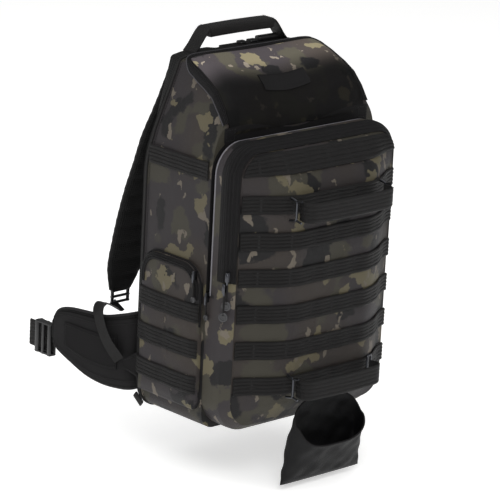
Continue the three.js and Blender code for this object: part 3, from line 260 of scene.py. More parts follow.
def loft(rings, joined=False, thin=False):
    """A closed body through rings of equally many points, with quads between neighbours. An end is
    closed by a fan round its middle or, where thin, by joining the ring's two halves. UV is the
    distance round the ring and along the rings, in metres."""
    rings = np.asarray(rings, float)
    m, k = rings.shape[:2]
    i, j = (a.ravel() for a in np.meshgrid(np.arange(m if joined else m - 1), np.arange(k), indexing="ij"))
    i2, j2 = (i + 1) % m, (j + 1) % k
    faces = np.stack([i * k + j, i * k + j2, i2 * k + j2, i2 * k + j], 1)
    around = np.linalg.norm(np.roll(rings, -1, 1) - rings, axis=2).mean(0)
    along = np.linalg.norm(np.roll(rings, -1, 0) - rings, axis=2).mean(1)
    u = np.concatenate([[0], np.cumsum(around)]) / 1000
    v = np.concatenate([[0], np.cumsum(along)]) / 1000
    uv = np.stack([
        np.stack([u[j], u[j + 1], u[j + 1], u[j]], 1),
        np.stack([v[i], v[i], v[i + 1], v[i + 1]], 1),
    ], 2)
    points = rings.reshape(-1, 3)
    if not joined:
        for row, flip in ((0, True), (m - 1, False)):
            start = row * k
            if thin:
                a = np.arange(k // 2 - 1)
                cap = start + np.stack([a, a + 1, k - 2 - a, k - 1 - a], 1)
            else:
                a = np.arange(k)
                points = np.concatenate([points, rings[row].mean(0)[None]])
                middle = np.full(k, len(points) - 1)
                cap = np.stack([middle, middle, start + a, start + (a + 1) % k], 1)
            cap = cap[:, ::-1] if flip else cap
            faces = np.concatenate([faces, cap])
            flat = np.zeros((len(cap), 4, 2))
            flat[..., 0] = points[cap][..., 0] / 1000
            flat[..., 1] = points[cap][..., 2] / 1000
            uv = np.concatenate([uv, flat])
    a, b, c, d = (points[faces[:, n]] for n in range(4))
    volume = (a * np.cross(b, c)).sum() + (a * np.cross(c, d)).sum()
    if volume < 0:
        faces, uv = faces[:, ::-1], uv[:, ::-1]
    return points, faces, uv


def new_piece(name, bodies, material, replaced=(), sharp=38):
    """One mesh object from lofted bodies. A face with a doubled corner becomes a triangle."""
    points = np.concatenate([b[0] for b in bodies])
    starts = np.cumsum([0] + [len(b[0]) for b in bodies[:-1]])
    faces = np.concatenate([b[1] + s for b, s in zip(bodies, starts)])
    uv = np.concatenate([b[2] for b in bodies])
    keep = faces != np.roll(faces, 1, 1)
    mesh = bpy.data.meshes.new(name)
    mesh.from_pydata(to_frame(points).tolist(), [], [f[k].tolist() for f, k in zip(faces, keep)])
    mesh.uv_layers.new(name="UVMap").data.foreach_set("uv", uv[keep].ravel().astype(np.float32))
    mesh.polygons.foreach_set("use_smooth", np.ones(len(faces), bool))
    mesh.set_sharp_from_angle(angle=np.radians(sharp))
    mesh.materials.append(material)
    piece = bpy.data.objects.new(name, mesh)
    bpy.context.scene.collection.objects.link(piece)
    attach(piece, "root")
    if replaced:
        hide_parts(*replaced)
    return piece


def add(material, kind, inputs=(), **settings):
    """Adds one node with its settings. An input is a value, or a socket to link to it."""
    node = material.node_tree.nodes.new(kind)
    for key, value in settings.items():
        setattr(node, key, value)
    for key, value in dict(inputs).items():
        if isinstance(value, bpy.types.NodeSocket):
            material.node_tree.links.new(value, node.inputs[key])
        else:
            node.inputs[key].default_value = value
    return node


def shader_of(material):
    """The material's Principled node."""
    return material.node_tree.nodes["Principled BSDF"]


def link(material, source, socket):
    """Links an output to a socket of the Principled node."""
    material.node_tree.links.new(source, shader_of(material).inputs[socket])


def weave_height(material, thread, depth):
    """Two crossed waves on the piece's UV, one per thread direction, summed to a height. A wave's bands
    are 0.314 apart at scale 1, so these come out at 0.63 of the given thread."""
    uv = add(material, "ShaderNodeTexCoord").outputs["UV"]
    waves = [add(material, "ShaderNodeTexWave", {"Vector": uv, "Scale": 0.5 / thread},
                 bands_direction=axis) for axis in ("X", "Y")]
    total = add(material, "ShaderNodeMath", {0: waves[0].outputs["Fac"], 1: waves[1].outputs["Fac"]},
                operation="ADD")
    bump = add(material, "ShaderNodeBump", {"Height": total.outputs[0], "Strength": depth, "Distance": 0.0004})
    return bump


# The cloth's printed colours, darkest first. The print is this bag's own: soft ground shades under
# sharp-edged patches and short twig-like strokes.
CAMO_GROUND = "#383436"
CAMO_BROWN = "#3f3935"
CAMO_MOSS = "#454239"
CAMO_BLACK = "#1d1c1d"
CAMO_KHAKI = "#6c6550"
CAMO_PALE = "#746c61"
PATCH_SIZE = 0.04
STROKE_SIZE = 0.024
CLOTH_THREAD = 0.0016
# The Mix node's colour inputs and output have the same names as others of its sockets.
MIX_UNDER = 6
MIX_OVER = 7
MIX_RESULT = 2


def tone_and_light_scaled(colour, share):
    """An sRGB hex colour as linear light, scaled by a share: painted light in the camouflage, random tone in
    plain cloth.
    """
    return (*(c * share for c in linear(colour)[:3]), 1)


def camouflage(name, shift, shade=1.0, gloss=0.22, painted_front_shade=None):
    """Coated woven polyester with a camouflage print: a satin surface with a faint weave. The weave's
    bands are drawn 1 mm apart, about twice the real ones, so that they show at all. shade is a painted
    light level: it scales the print's colour, so that each copy of the one cloth is drawn lit or shaded.
    gloss is the coating's specular level. The last argument is painted shade, which darkens the print
    towards the front: two places in metres along Y and the share of light kept at the first."""
    m = new_material(name, CAMO_GROUND, 0.56, Specular_IOR_Level=gloss)
    coords = add(m, "ShaderNodeTexCoord").outputs["Object"]
    placed = add(m, "ShaderNodeMapping", {"Vector": coords, "Location": shift}).outputs["Vector"]
    ragged = add(m, "ShaderNodeTexNoise", {"Vector": placed, "Scale": 75.0, "Detail": 3.0, "Roughness": 0.6})
    offset = add(m, "ShaderNodeVectorMath", {0: ragged.outputs["Color"], 1: (0.5, 0.5, 0.5)},
                 operation="SUBTRACT")
    bent = add(m, "ShaderNodeVectorMath", {0: offset.outputs[0], 1: (0.017, 0.017, 0.024), 2: placed},
               operation="MULTIPLY_ADD").outputs[0]
    turned = add(m, "ShaderNodeMapping", {"Vector": bent, "Location": (3.1, 1.7, 0.4),
                                          "Rotation": (0.5, 0.4, 0), "Scale": (1.5, 1.5, 0.75)})
    strokes = turned.outputs["Vector"]

    def patch_mask(vector, size, location, low, soft=0.006):
        """Noise of one patch size, cut at a level to a sharp-edged mask."""
        moved = add(m, "ShaderNodeMapping", {"Vector": vector, "Location": location}).outputs["Vector"]
        noise = add(m, "ShaderNodeTexNoise", {"Vector": moved, "Scale": 1 / size, "Detail": 0.6})
        return add(m, "ShaderNodeMapRange", {"Value": noise.outputs["Fac"], "From Min": low,
                                             "From Max": low + soft}).outputs["Result"]

    broad = patch_mask(placed, PATCH_SIZE * 3, (0, 0, 0), 0.42, 0.2)
    moss = patch_mask(bent, PATCH_SIZE * 1.3, (5, 2, 1), 0.55, 0.03)
    black = patch_mask(bent, PATCH_SIZE * 1.5, (9, 4, 3), 0.6, 0.02)
    khaki = patch_mask(bent, PATCH_SIZE, (1, 7, 5), 0.64)
    pale = patch_mask(strokes, STROKE_SIZE, (2, 3, 8), 0.68)
    colour = tone_and_light_scaled(CAMO_GROUND, shade)
    for mask, over in ((broad, CAMO_BROWN), (moss, CAMO_MOSS), (black, CAMO_BLACK), (khaki, CAMO_KHAKI),
                       (pale, CAMO_PALE)):
        colour = add(m, "ShaderNodeMix", {0: mask, MIX_UNDER: colour, MIX_OVER: tone_and_light_scaled(over, shade)},
                     data_type="RGBA").outputs[MIX_RESULT]
    # Painted shade: the print is darkened smoothly towards the front along Y, down to the share of light kept.
    if painted_front_shade:
        y = add(m, "ShaderNodeSeparateXYZ", {0: coords}).outputs["Y"]
        kept = add(m, "ShaderNodeMapRange", {"Value": y, "From Min": painted_front_shade[0], "From Max": painted_front_shade[1],
                                             "To Min": painted_front_shade[2]}, interpolation_type="SMOOTHSTEP")
        colour = add(m, "ShaderNodeVectorMath", {0: colour, "Scale": kept.outputs["Result"]},
                     operation="SCALE").outputs[0]
    link(m, colour, "Base Color")
    creases = add(m, "ShaderNodeTexNoise", {"Vector": coords, "Scale": 26.0, "Detail": 2.0})
    folds = add(m, "ShaderNodeBump", {"Height": creases.outputs["Fac"], "Strength": 0.25, "Distance": 0.004})
    weave = weave_height(m, CLOTH_THREAD, 0.35)
    m.node_tree.links.new(folds.outputs["Normal"], weave.inputs["Normal"])
    link(m, weave.outputs["Normal"], "Normal")
    return m


# Painted shade: the sides' copy of the camouflage is scaled to 0.62 of the print's colour for the light on
# them.
side_cloth = camouflage("coated camouflage polyester, sides", (0.31, 0.12, 0.05), 0.62)
depths = np.concatenate([[0, 0.012], np.linspace(0.04, 0.96, 28), [0.988, 1]])
new_piece("body_panels", [loft([body_slice(d) for d in depths])], side_cloth,
          ["main_shell"])


# Hatch: a soft padded lid of the same cloth over the sloped top, hinged along its front edge. A dark
# zip band with two sewn lines, edged by dark grey piping, runs up both sides and along the back.
HATCH_FOOT = 404
LID_EDGE = 0.93
LID_BACK = 0.11
LID_PUFF = 2.6
HATCH_BAND = 9
HATCH_TAB = 19
PATCH_WIDTH = 84
PATCH_HEIGHT = 27
PATCH_DEPTH = 0.71
SLOPE_LENGTH = 170
HATCH_ZIP_ROUTE = {
    "depth": [0.985, 0.9, 0.76, 0.62, 0.39, 0.22, 0.12, 0.085, 0.075, 0.075, 0.075],
    "across": [0.965, 0.965, 0.965, 0.965, 0.965, 0.962, 0.93, 0.88, 0.8, 0.6, 0.3],
    "turn": [0, 0, 0, 0, 0, 0.05, 0.35, 0.75, 1, 1, 1],
}
BAG_MIDDLE = np.array([0, 10, 232])
SIDES = ((-1, "left"), (1, "right"))


def unit(vectors):
    """Vectors scaled to length 1."""
    return vectors / np.maximum(np.linalg.norm(vectors, axis=-1, keepdims=True), 1e-9)


def raised(grid, lift):
    """A surface grid moved by lift along its normals, which point away from the bag's middle."""
    normal = unit(np.cross(np.gradient(grid, axis=0), np.gradient(grid, axis=1)))
    if (normal * (grid - BAG_MIDDLE)).sum() < 0:
        normal = -normal
    return grid + normal * np.asarray(lift, float)[..., None]


def strip(grid, thick, lift=0.0, joined=False):
    """A thin closed body on a surface grid, lifted off it: the grid and its copy raised by thick, which
    may change along and across."""
    over = raised(grid, lift + thick)
    return loft(np.concatenate([raised(grid, lift), over[:, ::-1]], 1), joined, thin=not joined)


def across_profile(count, thick, marks):
    """Thickness at count even places across a band: thick, plus a round bump for each mark, a tuple of
    middle and half width as shares of the band and height in mm. Both edges are rounded off."""
    s = np.linspace(-1, 1, count)
    total = thick * (1 - 0.55 * np.abs(s) ** 12)
    for middle, half, height in marks:
        total = total + height * np.clip(1 - ((s - middle) / half) ** 2, 0, 1) ** 0.5
    return total


def curve(columns, count):
    """Smooth curves through the columns of a table: Catmull-Rom pieces, evenly stepped by row."""
    table = np.stack([np.asarray(c, float) for c in columns.values()], 1)
    t = np.linspace(0, len(table) - 1, count)
    i = np.minimum(t.astype(int), len(table) - 2)
    f = (t - i)[:, None]
    wide = np.concatenate([2 * table[:1] - table[1:2], table, 2 * table[-1:] - table[-2:-1]])
    a, b, c, d = (wide[i + k] for k in range(4))
    value = b + 0.5 * f * (c - a + f * (2 * a - 5 * b + 4 * c - d + f * (3 * (b - c) + d - a)))
    return dict(zip(columns, value.T))


def tube(route, radius, sides=10):
    """A round cord along a route, its section turned as little as possible from point to point."""
    route = np.asarray(route, float)
    along = unit(np.gradient(route, axis=0))
    side, across = np.cross(along[0], [0.31, 0.52, 0.8]), []
    for direction in along:
        side = side - direction * (side @ direction)
        side = side / np.linalg.norm(side)
        across.append(side)
    across = np.array(across)
    other = np.cross(along, across)
    a = np.linspace(0, 2 * np.pi, sides, endpoint=False)[None, :, None]
    radius = np.broadcast_to(np.asarray(radius, float), len(route))[:, None, None]
    return loft(route[:, None] + radius * (np.cos(a) * across[:, None] + np.sin(a) * other[:, None]))


def resample(route, step):
    """Points at an even distance along a route."""
    run = np.concatenate([[0], np.cumsum(np.linalg.norm(np.diff(route, axis=0), axis=1))])
    at = np.linspace(0, run[-1], max(2, round(run[-1] / step) + 1))
    return np.stack([np.interp(at, run, route[:, k]) for k in range(3)], 1)


STITCH_PITCH = 4
STITCH_LENGTH = 2.8
STITCH_THREAD = 0.4


def stitches(route):
    """Short threads, thick in the middle and thin at both ends, one after the other on a route."""
    points = resample(np.asarray(route, float), STITCH_PITCH)
    bodies = []
    for middle, along in zip(points, unit(np.gradient(points, axis=0))):
        ends = middle + np.outer([-0.5, -0.25, 0.25, 0.5], along) * STITCH_LENGTH
        bodies.append(tube(ends, [0.12, STITCH_THREAD, STITCH_THREAD, 0.12], 6))
    return bodies


def woven(name, colour, roughness, thread, depth, shade=0.25):
    """Plain dyed cloth: crossed threads as height and a slow change of shade over some centimetres."""
    m = new_material(name, colour, roughness, Specular_IOR_Level=0.16)
    coords = add(m, "ShaderNodeTexCoord").outputs["Object"]
    noise = add(m, "ShaderNodeTexNoise", {"Vector": coords, "Scale": 38.0, "Detail": 4.0})
    mix = add(m, "ShaderNodeMix", {0: noise.outputs["Fac"], MIX_UNDER: tone_and_light_scaled(colour, 1 - shade),
                                   MIX_OVER: tone_and_light_scaled(colour, 1 + shade)}, data_type="RGBA")
    link(m, mix.outputs[MIX_RESULT], "Base Color")
    link(m, weave_height(m, thread, depth).outputs["Normal"], "Normal")
    return m


def hatch_surface(depth, u):
    """A point of the sloped top at shares of the depth and of the half width."""
    z = top_z(depth, u)
    return np.stack(np.broadcast_arrays(edge_x(depth) * u, body_y(depth, z), z), -1)


black_cloth = woven("matte black nylon", "#121112", 0.7, 0.0011, 0.3)
zip_tape = woven("black zip tape", "#121112", 0.5, 0.0009, 0.6)
webbing = woven("black nylon webbing", "#1b1a1a", 0.52, 0.0013, 0.7)
piping_cloth = woven("light grey reflective piping", "#737176", 0.42, 0.0009, 0.3, 0.12)
thread = woven("black bonded thread", "#1f1f1f", 0.45, 0.0006, 0.2)
binding_cloth = woven("black grosgrain binding", "#262526", 0.55, 0.0012, 0.5)
dark_piping = woven("dark grey piping", "#47464a", 0.5, 0.0009, 0.3)
# Painted light and shade: the hatch's copy of the camouflage is drawn 2.2 times as bright for the light on the
# top, and darkens to 0.03 of that towards its front edge for the shade there.
hatch_cloth = camouflage("coated camouflage polyester, hatch", (0.83, 0.4, 0.77), 2.2, 0.12,
                         painted_front_shade=(-0.1, -0.06, 0.03))

depth = np.linspace(LID_BACK, 1, 52)[:, None]
u = np.linspace(-LID_EDGE, LID_EDGE, 61)[None]
lid = hatch_surface(depth, u)
foot = lid[-1:] * [1, 1, 0] + [0, -0.5, HATCH_FOOT]
lid = np.concatenate([lid, lerp(lid[-1:], foot, 0.5), foot])
rise = smooth((LID_EDGE - np.abs(u)) / 0.13) * smooth((depth - LID_BACK) / 0.09) * smooth((1.02 - depth) / 0.1)
rise = np.concatenate([rise, rise[-1:], rise[-1:]])
hatch = new_piece("hatch_lid", [strip(lid, 1.4 + LID_PUFF * rise, 0.2)], hatch_cloth,
                  ["top_hatch"])


def hatch_band(places, trail):
    """A surface grid along the hatch's zip at the given places across, in mm from the band's middle."""
    half = curve(HATCH_ZIP_ROUTE, trail)
    depth, across, turn = (half[k][:, None] for k in ("depth", "across", "turn"))
    u = across + (1 - turn) * places / edge_x(depth)
    d = depth - turn * places / (back_y(BODY_TALL) - SHELL_FRONT)
    left, right = (hatch_surface(np.clip(d, 0, 1), np.clip(u, 0, 1) * hand) for hand in (-1, 1))
    return np.concatenate([left, right[::-1]])


places = np.linspace(-HATCH_BAND / 2, HATCH_BAND / 2, 25)
zip_profile = across_profile(25, 1.5, [(-0.62, 0.16, 0.7), (-0.1, 0.2, 0.9), (0.36, 0.16, 0.7)])
new_piece("hatch_zip_band", [strip(hatch_band(places, 90), zip_profile, 0.7)], zip_tape,
          ["hatch_zip"])
edge_line = raised(hatch_band(np.linspace(3.6, 5.2, 3), 90), 1.6)[:, 1]
new_piece("hatch_piping", [tube(edge_line, 0.7)], dark_piping)

for hand, side in SIDES:
    corner = hatch_surface(np.array(HATCH_ZIP_ROUTE["depth"][0]), np.array(LID_EDGE * hand))
    x = np.abs(corner[0]) - 2 + np.linspace(-HATCH_TAB / 2, HATCH_TAB / 2, 9)
    z = corner[2] - 6 - np.linspace(0, HATCH_TAB, 9)
    grid = np.stack(np.broadcast_arrays(hand * x[None], SHELL_FRONT, z[:, None]), -1)
    new_piece(f"hatch_tab_cloth_{side}", [strip(grid, across_profile(9, 1.8, []), 0.3)], webbing,
              [f"hatch_tab_{side}"])
    box = raised(grid, 2.2)[1:-1, 1:-1]
    seam = np.concatenate([box[0], box[1:, -1], box[-1, ::-1][1:], box[::-1, 0][1:]])
    new_piece(f"hatch_tab_stitches_{side}", stitches(seam), thread)

reach = PATCH_HEIGHT / 2 / SLOPE_LENGTH
patch_s = np.linspace(-1, 1, 21)
patch = hatch_surface(PATCH_DEPTH + reach * patch_s[:, None],
                      PATCH_WIDTH / 2 / edge_x(PATCH_DEPTH) * np.linspace(-1, 1, 41)[None])
border = np.maximum(np.abs(patch_s)[:, None] ** 9, np.abs(np.linspace(-1, 1, 41))[None] ** 30)
new_piece("label_patch_cloth", [strip(patch, 1.3 + 0.9 * border, 3.2)], black_cloth,
          ["label_patch"])


# Back panel: a plain padded panel of black air mesh sewn round the back seam, with a ribbed binding
# tape over the seam. Two upright channels and a cross one part its foam.
BACK_PAD = 6
BACK_SKIN = 2.4
PAD_ROLL = 14
PAD_FOOT = 22
PAD_CHANNEL = 0.72
YOKE_DROP = 4
YOKE_FROM = 430
YOKE_FADE = 50
PANEL_REAR = BODY_BACK + BACK_PAD
BINDING_WIDTH = 6
CHANNEL_X = 30
CHANNEL_Z = 205
DOT_SIZE = 0.0032


def air_mesh(name, colour="#161616"):
    """Knitted spacer mesh: small round holes, painted darker than the threads around them as the shade inside
    them.
    """
    m = new_material(name, colour, 0.75, Specular_IOR_Level=0.15)
    uv = add(m, "ShaderNodeTexCoord").outputs["UV"]
    cells = add(m, "ShaderNodeTexVoronoi", {"Vector": uv, "Scale": 1 / DOT_SIZE, "Randomness": 0.12},
                voronoi_dimensions="2D")
    holes = add(m, "ShaderNodeMapRange", {"Value": cells.outputs["Distance"], "From Min": 0.2,
                                          "From Max": 0.42}).outputs["Result"]
    # Painted shade: the holes are coloured near black for the shade inside them.
    mix = add(m, "ShaderNodeMix", {0: holes, MIX_UNDER: linear("#050505"), MIX_OVER: linear(colour)},
              data_type="RGBA")
    link(m, mix.outputs[MIX_RESULT], "Base Color")
    bump = add(m, "ShaderNodeBump", {"Height": holes, "Strength": 0.8, "Distance": 0.0008})
    link(m, bump.outputs["Normal"], "Normal")
    return m


mesh_cloth = air_mesh("black spacer mesh")
ring = body_slice(0.0)
half = ring[:len(ring) // 2 + 1]
half = half[half[:, 0] > SHOULDER_FROM * edge_x(0)]
half = half[(half[:, 2] > 4) | (half[:, 0] > BODY_HALF - FOOT_ROUND)]
across = np.linspace(-1, 1, 61)
grid = half[:, None] * np.stack([across, np.ones(61), np.ones(61)], 1)[None]
grid[..., 1] += 0.5
x, z = np.abs(grid[..., 0]), grid[..., 2]
inside = smooth((half[:, None, 0] - 3 - x) / PAD_ROLL) * smooth(z / PAD_FOOT)
channel = smooth((np.abs(x - CHANNEL_X) - 3) / 9) * smooth((np.abs(z - CHANNEL_Z) - 4) / 10)
foam = (PANEL_REAR - BACK_SKIN - grid[..., 1]) * inside * lerp(PAD_CHANNEL, 1, channel)
rear = grid + [0, 1, 0] * (BACK_SKIN + foam)[..., None]
rear[..., 2] -= YOKE_DROP * smooth((z - YOKE_FROM) / YOKE_FADE)
pads = loft(np.concatenate([grid, rear[:, ::-1]], 1), thin=True)
back_mesh = new_piece("back_mesh", [pads], mesh_cloth, ["back_panel"])

sewn = np.stack([body_slice(d) for d in np.linspace(0.002, BINDING_WIDTH / BODY_DEEP, 7)], 1)
new_piece("back_binding", [strip(sewn, across_profile(7, 1.5, []), 0.2, joined=True)], webbing)
left_run = raised(np.stack([body_slice(0.073), body_slice(0.077)], 1), 0.5)[:, 0]
left_run = left_run[left_run[:, 2] > 12]
new_piece("back_seam_stitches", stitches(left_run), thread)


# Front compartment: a gusset of camouflage cloth with a slanted front edge, the main zip in the dark
# valley behind it, light piping along its rear seam and its own zip on the slant.
FRONT_HALF = 149
FRONT_TOP = 397
FRONT_BOTTOM = 2
TOP_ROUND = 42
BOTTOM_ROUND = 46
GUSSET_REAR = -64
PANEL_FACE = -101
FRONT_ZIP_END = 215
MAIN_ZIP_END = 190
VALLEY_DEPTH = 9
PIPING = 4
HINGE_FOOT = 386
GUSSET_SECTION = {
    "inset": [0, -0.5, -0.6, -0.2, 0.3, 1.2, 8.7, 9.7, 11.5, 11.5, 3, 3, 14, 14],
    "y": [None, -70, -78, -86.5, -88.2, -89.6, -99.9, -100.9, -101, -98, -86, -67, -67, None],
}
TAPE_SECTION = {
    "inset": [-0.6, -0.3, 0.2, 1.2, 5, 8.7, 9.6],
    "y": [-76, -84, -88, -89.6, -94.8, -99.9, -100.8],
}
TAPE_RIDGES = [(-0.84, 0.08, 0.5), (-0.62, 0.08, 0.5), (-0.4, 0.08, 0.5), (0.04, 0.1, 1.0), (0.26, 0.1, 1.0),
               (0.56, 0.08, 0.5), (0.78, 0.08, 0.5)]


def rounded(corners, turn, sides, ends):
    """Points round four quarter circles, each given by its middle and radius, and the straight lines
    between them, from the lower right one anticlockwise."""
    points = []
    for n, (x, z, r) in enumerate(corners):
        a = -np.pi / 2 + n * np.pi / 2 + np.linspace(0, np.pi / 2, turn)
        outward = np.stack([np.cos(a), np.sin(a)], 1)
        points.append([x, z] + r * outward)
        next_x, next_z, next_r = corners[(n + 1) % 4]
        t = np.linspace(0, 1, (sides if n % 2 == 0 else ends) + 2)[1:-1, None]
        points.append(lerp(points[-1][-1], [next_x, next_z] + next_r * outward[-1], t))
    return np.concatenate(points)


def outline(inset, turn=14, sides=40, ends=30):
    """The compartment's edge, set in: a rounded rectangle."""
    low, high = max(2, BOTTOM_ROUND - inset), max(2, TOP_ROUND - inset)
    half, bottom, top = FRONT_HALF - inset, FRONT_BOTTOM + inset, FRONT_TOP - inset
    return rounded([(half - low, bottom + low, low), (half - high, top - high, high),
                    (high - half, top - high, high), (low - half, bottom + low, low)], turn, sides, ends)


def arch(inset, foot):
    """The outline above a height, from the left foot over the top to the right foot."""
    high, half, top = TOP_ROUND - inset, FRONT_HALF - inset, FRONT_TOP - inset
    a = np.linspace(0, np.pi / 2, 14)
    turn = np.stack([np.cos(a), np.sin(a)], 1)
    rise = np.stack([np.full(30, half), np.linspace(foot, top - high, 31)[:-1]], 1)
    over = np.stack([np.linspace(half - high, 0, 25)[1:], np.full(24, top)], 1)
    points = np.concatenate([rise, [half - high, top - high] + high * turn, over])
    return np.concatenate([points * [-1, 1], points[-2::-1]])


def arch_surface(insets, depths, foot):
    """A band over the arch: its lines run at the given insets and distances along Y."""
    lines = []
    for inset, y in zip(insets, depths):
        xz = arch(inset, foot)
        lines.append(np.stack([xz[:, 0], np.full(len(xz), y), xz[:, 1]], 1))
    return np.stack(lines, 1)


def gusset_rear(z):
    """The gusset's rear edge: against the body below the main zip's ends, and off it above them."""
    return lerp(SHELL_FRONT - 0.3, GUSSET_REAR, smooth((z - MAIN_ZIP_END + 12) / 12))


# Painted shade: the gusset's copy of the camouflage is scaled to 0.75 of the print's colour for the light on
# it.
gusset_cloth = camouflage("coated camouflage polyester, gusset", (0.57, 0.9, 0.21), 0.75)
rings = []
for inset, y in zip(GUSSET_SECTION["inset"], GUSSET_SECTION["y"]):
    xz = outline(inset)
    rings.append(np.stack([xz[:, 0], gusset_rear(xz[:, 1]) if y is None else np.full(len(xz), y), xz[:, 1]], 1))
new_piece("gusset_cloth", [loft(rings, joined=True)], gusset_cloth, ["front_gusset"])

valley_y = np.linspace(SHELL_FRONT - 0.3, GUSSET_REAR + 0.3, 21)
valley = arch_surface([VALLEY_DEPTH] * 21, valley_y, MAIN_ZIP_END)
valley_profile = across_profile(21, 2.2, [(-0.45, 0.2, 0.5), (0, 0.22, 1.1), (0.45, 0.2, 0.5)])
new_piece("main_zip_tape", [strip(valley, valley_profile)], zip_tape, ["main_zip"])

# Partly painted shade: a black cloth flange on the body's front round the main zip, whose black also stands in
# for the shade in the gap between compartment and body.
gap_shade_flange = arch_surface(np.linspace(VALLEY_DEPTH + 0.6, -1, 7), [SHELL_FRONT - 0.2] * 7, MAIN_ZIP_END)
new_piece("main_zip_flange_and_gap_shade", [strip(gap_shade_flange, 0.6)], black_cloth)

route = arch_surface([PIPING / 2], [GUSSET_REAR + 0.3 + PIPING / 2], MAIN_ZIP_END)[:, 0]
new_piece("compartment_piping", [tube(route, PIPING / 2 - 0.2, 12)], piping_cloth,
          ["front_piping"])

section = curve(TAPE_SECTION, 49)
tape = arch_surface(section["inset"], section["y"], FRONT_ZIP_END)
tape_profile = across_profile(49, 1.0, TAPE_RIDGES)
new_piece("front_zip_tape", [strip(tape, tape_profile, 0.5)], zip_tape, ["front_zip"])

# A plain black fold under the hatch's front edge is its hinge.
x = np.linspace(-1, 1, 81)[None] * 0.98
share = np.linspace(0, 1, 12)[:, None]
fold = np.stack(np.broadcast_arrays(x * edge_x(1), SHELL_FRONT, lerp(HINGE_FOOT, top_z(1, x) - 2, share)), -1)
new_piece("hatch_hinge_cloth", [strip(fold, 1.0, 1.2)], black_cloth)


# Front panel: camouflage cloth that stands out in a soft dome, drawn in a little under each of its
# seven rows of 25 mm webbing, which are tacked every 38 mm so that gear can be hooked in.
PANEL_INSET = 10
PANEL_BULGE = 36
RISE_SIDES = 80
RISE_ENDS = 58
FRONT_ROWS = 7
FIRST_ROW = 72
ROW_PITCH = 50
WEBBING_WIDTH = 25
WEBBING_THICK = 1.8
TACK_PITCH = 38
ROW_PUFF = 1.5
TACK_WIDTH = 2.2
TACK_HEIGHT = 21
TACK_THREAD = 0.35
RIBS = (-0.8, -0.4, 0, 0.4, 0.8)
ROW_PROFILE = across_profile(41, WEBBING_THICK - 0.5, [(m, 0.17, 0.95) for m in RIBS])
ROW_LINES = np.linspace(-WEBBING_WIDTH / 2, WEBBING_WIDTH / 2, 41)[None]


def swell(distance, rise):
    """The dome's share at a distance from an edge: a quarter sine to the power 1.5."""
    return np.sin(np.clip(distance / rise, 0, 1) * np.pi / 2) ** 1.5


def panel_surface(x, z):
    """The front panel: the dome, puffed between the rows, with slight waves in the cloth."""
    half = FRONT_HALF - PANEL_INSET - np.abs(x)
    bottom, top = z - FRONT_BOTTOM - PANEL_INSET, FRONT_TOP - PANEL_INSET - z
    dome = PANEL_BULGE * swell(half, RISE_SIDES) * (swell(bottom, RISE_ENDS) * swell(top, RISE_ENDS)) ** 0.7
    between = np.sin(np.pi * (z - FIRST_ROW) / ROW_PITCH) ** 2
    inside = smooth(np.minimum(half, np.minimum(bottom, top)) / 14)
    waves = 0.35 * np.sin(x / 13 + z / 21) * np.sin(z / 11 - x / 31)
    y = PANEL_FACE - 1 - dome - inside * between * (ROW_PUFF + waves)
    return np.stack(np.broadcast_arrays(x, y, z), -1)


def panel_half(z):
    """Half the front panel's width at a height: less beside its rounded upper corners."""
    high = TOP_ROUND - PANEL_INSET
    up = np.clip(z - (FRONT_TOP - TOP_ROUND), 0, high)
    return FRONT_HALF - TOP_ROUND + np.sqrt(high ** 2 - up ** 2)


def webbing_row(grid, run, lift, loose):
    """A webbing row on a surface grid: tacked down where the run along it is a whole number of pitches,
    and off the cloth by a squared sine between."""
    return strip(grid, ROW_PROFILE[None] + 0 * run, lift + loose * np.sin(np.pi * run / TACK_PITCH) ** 2)


def bar_tack(surface, along, z, lift):
    """A dense bar of thread across a row, on the surface that surface(along, z) gives."""
    along = along + np.linspace(-TACK_WIDTH / 2, TACK_WIDTH / 2, 5)[:, None]
    z = z + np.linspace(-TACK_HEIGHT / 2, TACK_HEIGHT / 2, 29)[None]
    return strip(surface(along, z), np.full((5, 29), TACK_THREAD), lift)


# Painted shade: the front panel's copy of the camouflage is scaled to 0.6 of the print's colour for the light
# on it.
panel_cloth = camouflage("coated camouflage polyester, front", (0.12, 0.66, 0.93), 0.6)
insets = np.concatenate([np.linspace(110, 20, 31), np.linspace(18, 0, 13)])
rings = []
for inset in insets:
    xz = outline(PANEL_INSET + inset, 10, 76, 50)
    rings.append(panel_surface(xz[:, 0], xz[:, 1]))
xz = outline(PANEL_INSET, 10, 76, 50)
rings.append(np.stack([xz[:, 0], np.full(len(xz), PANEL_FACE + 1.0), xz[:, 1]], 1))
new_piece("panel_cloth", [loft(rings)], panel_cloth, ["front_panel"])

rows, tacks = [], []
for row in range(FRONT_ROWS):
    middle = FIRST_ROW + row * ROW_PITCH
    z = middle + ROW_LINES
    x = np.linspace(-1, 1, 111)[:, None] * (panel_half(z) - 0.8)
    rows.append(webbing_row(panel_surface(x, z), x, 0.9, 1.0))
    for n in range(-3, 4):
        if abs(n * TACK_PITCH) < panel_half(middle + TACK_HEIGHT / 2) - 6:
            tacks.append(bar_tack(panel_surface, n * TACK_PITCH, middle, 2.5))
new_piece("front_rows", rows, webbing, [f"front_row_{n + 1}" for n in range(FRONT_ROWS)])
new_piece("front_row_tacks", tacks, thread)


